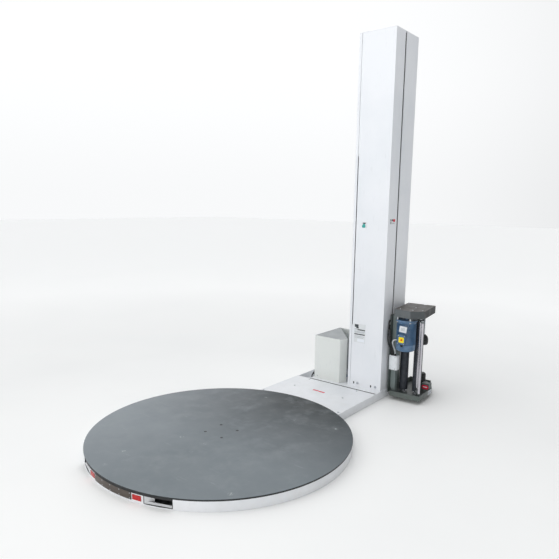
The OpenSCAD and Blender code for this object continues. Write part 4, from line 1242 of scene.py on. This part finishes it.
class FilmHolders(bpy.types.Operator):
    """Builds the ribbed lower and upper film core holders"""
    bl_idname = "wrapper.film_holders"
    bl_label = "Film core holders"

    RIBS = 8

    def execute(self, context):
        low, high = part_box("lower_core_holder")
        axis = Matrix.Translation(Vector((FILM.x, FILM.y, 0)))
        flange, core = 0.059, 0.037
        z = low.z
        seat = z + 0.0037
        bm = bmesh.new()
        turned_into(bm, [(0, z), (0.012, z), (0.012, seat), (flange - 0.002, seat), (flange, seat + 0.002),
                         (flange, seat + 0.032), (flange - 0.002, seat + 0.034), (core - 0.002, seat + 0.034),
                         (core - 0.002, high.z - 0.012), (core - 0.008, high.z - 0.002),
                         (core - 0.010, high.z), (0, high.z)], axis, 72)
        self.ribs(bm, axis, core, seat + 0.033, high.z - 0.014)
        piece("lower_core_body", bm, "black_plastic", "lower_core_holder", edge=0.0006,
              stands_for=("lower_core_holder",))
        low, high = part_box("upper_core_holder")
        inner = 0.0081
        dome = [(core - 0.007, 0), (core - 0.003, 0.006), (core - 0.001, 0.013), (core, 0.020), (core, 0.042),
                (core - 0.001, 0.049), (core - 0.004, 0.058), (core - 0.008, 0.0655), (core - 0.013, 0.0715),
                (core - 0.018, 0.076), (core - 0.022, 0.080), (inner, 0.0815)]
        bm = bmesh.new()
        turned_into(bm, [(inner, low.z)] + [(r, low.z + h) for r, h in dome], axis, 72, closed=True)
        piece("upper_core_body", bm, "black_plastic", "upper_core_holder",
              stands_for=("upper_core_holder",))
        return {"FINISHED"}

    def ribs(self, bm, axis, core, low, high):
        """Upright ribs that grip the inside of a film core."""
        for k in range(self.RIBS):
            place = axis @ Matrix.Rotation(2 * math.pi * k / self.RIBS, 4, "Z")
            outline = [(core - 0.004, -0.003), (core - 0.0005, -0.0022), (core, 0), (core - 0.0005, 0.0022),
                       (core - 0.004, 0.003)]
            prism_into(bm, outline, low, high, place)


class Controls(bpy.types.Operator):
    """Adds the operator panel's display, key pads, collars and the door's locks"""
    bl_idname = "wrapper.controls"
    bl_label = "Controls"

    def execute(self, context):
        self.display()
        self.collars()
        self.door_locks()
        return {"FINISHED"}

    def display(self):
        """Framed display in the panel's recess, with two rows of blank keys below it."""
        low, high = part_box("control_panel")
        high = Vector((high.x, high.y, 1.400))
        centre_x = (low.x + high.x) / 2
        seat = MAST_BACK + 0.016
        place = upright(frame_at(Vector((centre_x, seat, high.z - 0.0615)), Y))
        single("display_frame", "black_plastic", "cabinet_door", prism_into,
               rounded_rect(0.094, 0.082, 0.004), 0.0001, 0.0030, place, edge=0.0008)
        single("display_pane", "glass", "cabinet_door", prism_into, rounded_rect(0.080, 0.052, 0.002),
               0.0031, 0.0036, place @ Matrix.Translation((0, 0.010, 0)), slot="black_plastic")
        bm = bmesh.new()
        for k in range(5):
            for row in range(2):
                prism_into(bm, rounded_rect(0.011, 0.0065, 0.0015, 3), 0.0030, 0.0039,
                           place @ Matrix.Translation((-0.032 + 0.016 * k, -0.023 - 0.009 * row, 0)))
        piece("display_keys", bm, "box_plastic", "cabinet_door", edge=0.0003)

    def collars(self):
        """Chromed collars round the buttons, and a yellow ring round the stop button's head."""
        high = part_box("control_panel")[1]
        bm = bmesh.new()
        for button in ("start_button", "stop_button"):
            at = middle(button)
            place = frame_at(Vector((at.x, high.y, at.z)), Y)
            turned_into(bm, [(0.0106, 0), (0.0145, 0), (0.0145, 0.0012), (0.0125, 0.0024), (0.0106, 0.0024)],
                        place, 40, closed=True)
        piece("button_collars", bm, "roller_chrome", "cabinet_door")
        for node, name, inner, outer, y, steps in (
                ("estop_button", "estop_ring", 0.0186, 0.0225, high.y, 48),
                ("main_switch", "switch_ring", 0.0225, 0.0300, MAST_BACK + 0.004, 56)):
            at = middle(node)
            single(name, "yellow_foil", "cabinet_door", turned_into, ring(inner, outer, 0, 0.0008),
                   frame_at(Vector((at.x, y, at.z)), Y), steps, slot="label_plate", closed=True)

    def door_locks(self):
        """Quarter-turn locks on the door's free side, each with a flat dark slot shape: painted shade for its
        key slot.
        """
        low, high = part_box("cabinet_door")
        bm, slot_shades = bmesh.new(), bmesh.new()
        for z in (low.z + 0.09, high.z - 0.09):
            place = frame_at(Vector((high.x - 0.022, MAST_BACK, z)), Y)
            turned_into(bm, [(0, 0), (0.0125, 0), (0.0125, 0.002), (0.0110, 0.0035), (0, 0.0035)], place, 36)
            prism_into(slot_shades, rounded_rect(0.003, 0.012, 0.0012, 2), 0.0034, 0.0039, place)
        piece("door_locks", bm, "zinc_steel", "cabinet_door", edge=0.0003)
        piece("door_lock_slot_shades", slot_shades, "dark_foil", "cabinet_door")


class Studio(bpy.types.Operator):
    """Builds the floor, the lights and the camera"""
    bl_idname = "wrapper.studio"
    bl_label = "Studio"

    def execute(self, context):
        studio = context.scene.wrapper.studio
        self.floor(pale_floor(context.scene.wrapper.colours.floor))
        self.world(studio.sky_left, studio.sky_right)
        aim = Vector((0.1, 0.9, 0.9))
        self.softbox("key_softbox", (-2.2, -4.6, 3.4), aim, 3.2, studio.key)
        self.softbox("top_softbox", (0.4, 0.4, 5.2), Vector((0.2, 0.8, 0)), 4.0, studio.top)
        self.softbox("fill_softbox", (3.5, -5.4, 1.6), Vector((0.3, 0.6, 0.4)), 2.4, studio.fill)
        self.camera(studio)
        return {"FINISHED"}

    def floor(self, finish):
        """A wide floor that the machine stands on."""
        bm = bmesh.new()
        bmesh.ops.create_grid(bm, x_segments=1, y_segments=1, size=40)
        mesh = bpy.data.meshes.new("studio_floor")
        bm.to_mesh(mesh)
        bm.free()
        obj = bpy.data.objects.new("studio_floor", mesh)
        obj.location.z = -0.0005
        bpy.context.scene.collection.objects.link(obj)
        mesh.materials.append(finish)

    def world(self, left, right):
        """Neutral room light that falls off softly from the room's left wall to its right wall."""
        world = bpy.data.worlds.new("studio_room")
        world.use_nodes = True
        tree = world.node_tree
        background = tree.nodes["Background"].inputs
        background["Color"].default_value = linear("#FBFCFD")
        way = add(tree, "SeparateXYZ", {"Vector": add(tree, "TexCoord")["Generated"]})
        fall = add(tree, "MapRange", {"Value": way["X"], "From Min": -0.55, "From Max": 0.9,
                                      "To Min": left, "To Max": right}, interpolation_type="SMOOTHSTEP")[0]
        # The wall meets the floor without a line, so it starts at the far floor's brightness
        rise = add(tree, "MapRange", {"Value": way["Z"], "From Min": 0.0, "From Max": 0.22, "To Min": 0.94,
                                      "To Max": 1.0}, interpolation_type="SMOOTHSTEP")[0]
        both = add(tree, "Math", {0: fall, 1: rise}, operation="MULTIPLY")[0]
        tree.links.new(both, background["Strength"])
        bpy.context.scene.world = world

    def softbox(self, name, at, aim, size, power):
        """A square area light that faces its aim."""
        data = bpy.data.lights.new(name, "AREA")
        data.size = size
        data.energy = power
        data.color = linear("#FFFDFA")[:3]
        obj = bpy.data.objects.new(name, data)
        obj.location = at
        obj.rotation_euler = (aim - Vector(at)).to_track_quat("-Z", "Y").to_euler()
        bpy.context.scene.collection.objects.link(obj)

    def camera(self, studio):
        """The camera, placed by its yaw, pitch and roll."""
        data = bpy.data.cameras.new("studio_camera")
        data.lens = studio.lens
        data.sensor_width = 36.0
        data.shift_x, data.shift_y = studio.shift_x, studio.shift_y
        data.clip_end = 200.0
        obj = bpy.data.objects.new("studio_camera", data)
        ahead = Vector((-math.sin(studio.yaw) * math.cos(studio.pitch),
                        math.cos(studio.yaw) * math.cos(studio.pitch), -math.sin(studio.pitch)))
        across = Vector((math.cos(studio.yaw), math.sin(studio.yaw), 0))
        up = across.cross(ahead)
        right = math.cos(studio.roll) * across + math.sin(studio.roll) * up
        over = -math.sin(studio.roll) * across + math.cos(studio.roll) * up
        obj.matrix_world = Matrix((right, over, -ahead)).transposed().to_4x4()
        obj.location = studio.camera_at
        bpy.context.scene.collection.objects.link(obj)
        bpy.context.scene.camera = obj
        bpy.context.scene.view_settings.view_transform = "Standard"


OPERATORS = (FrameFinishes, TurntableTrim, BridgeFittings, MastFittings, StretchMotor, Wiring,
             RollerFittings, FilmHolders, Controls, Studio)


class WrapperPanel(bpy.types.Panel):
    """The wrapper's panel in the 3D view's sidebar"""
    bl_idname = "VIEW3D_PT_wrapper"
    bl_label = "Turntable pallet wrapper"
    bl_space_type = "VIEW_3D"
    bl_region_type = "UI"
    bl_category = "Wrapper"

    def draw(self, context):
        for operator in OPERATORS:
            self.layout.operator(operator.bl_idname)
        wrapper = context.scene.wrapper
        for group in (wrapper.colours, wrapper.sizes, wrapper.studio):
            box = self.layout.box()
            for name in group.__annotations__:
                box.prop(group, name)


CLASSES = (WrapperColours, WrapperSizes, WrapperStudio, WrapperScene, *OPERATORS, WrapperPanel)


def register():
    for cls in CLASSES:
        bpy.utils.register_class(cls)
    bpy.types.Scene.wrapper = PointerProperty(type=WrapperScene)


def unregister():
    del bpy.types.Scene.wrapper
    for cls in reversed(CLASSES):
        bpy.utils.unregister_class(cls)


def main():
    register()
    for operator in OPERATORS:
        group, name = operator.bl_idname.split(".")
        getattr(getattr(bpy.ops, group), name)()


if __name__ == "__main__":
    main()
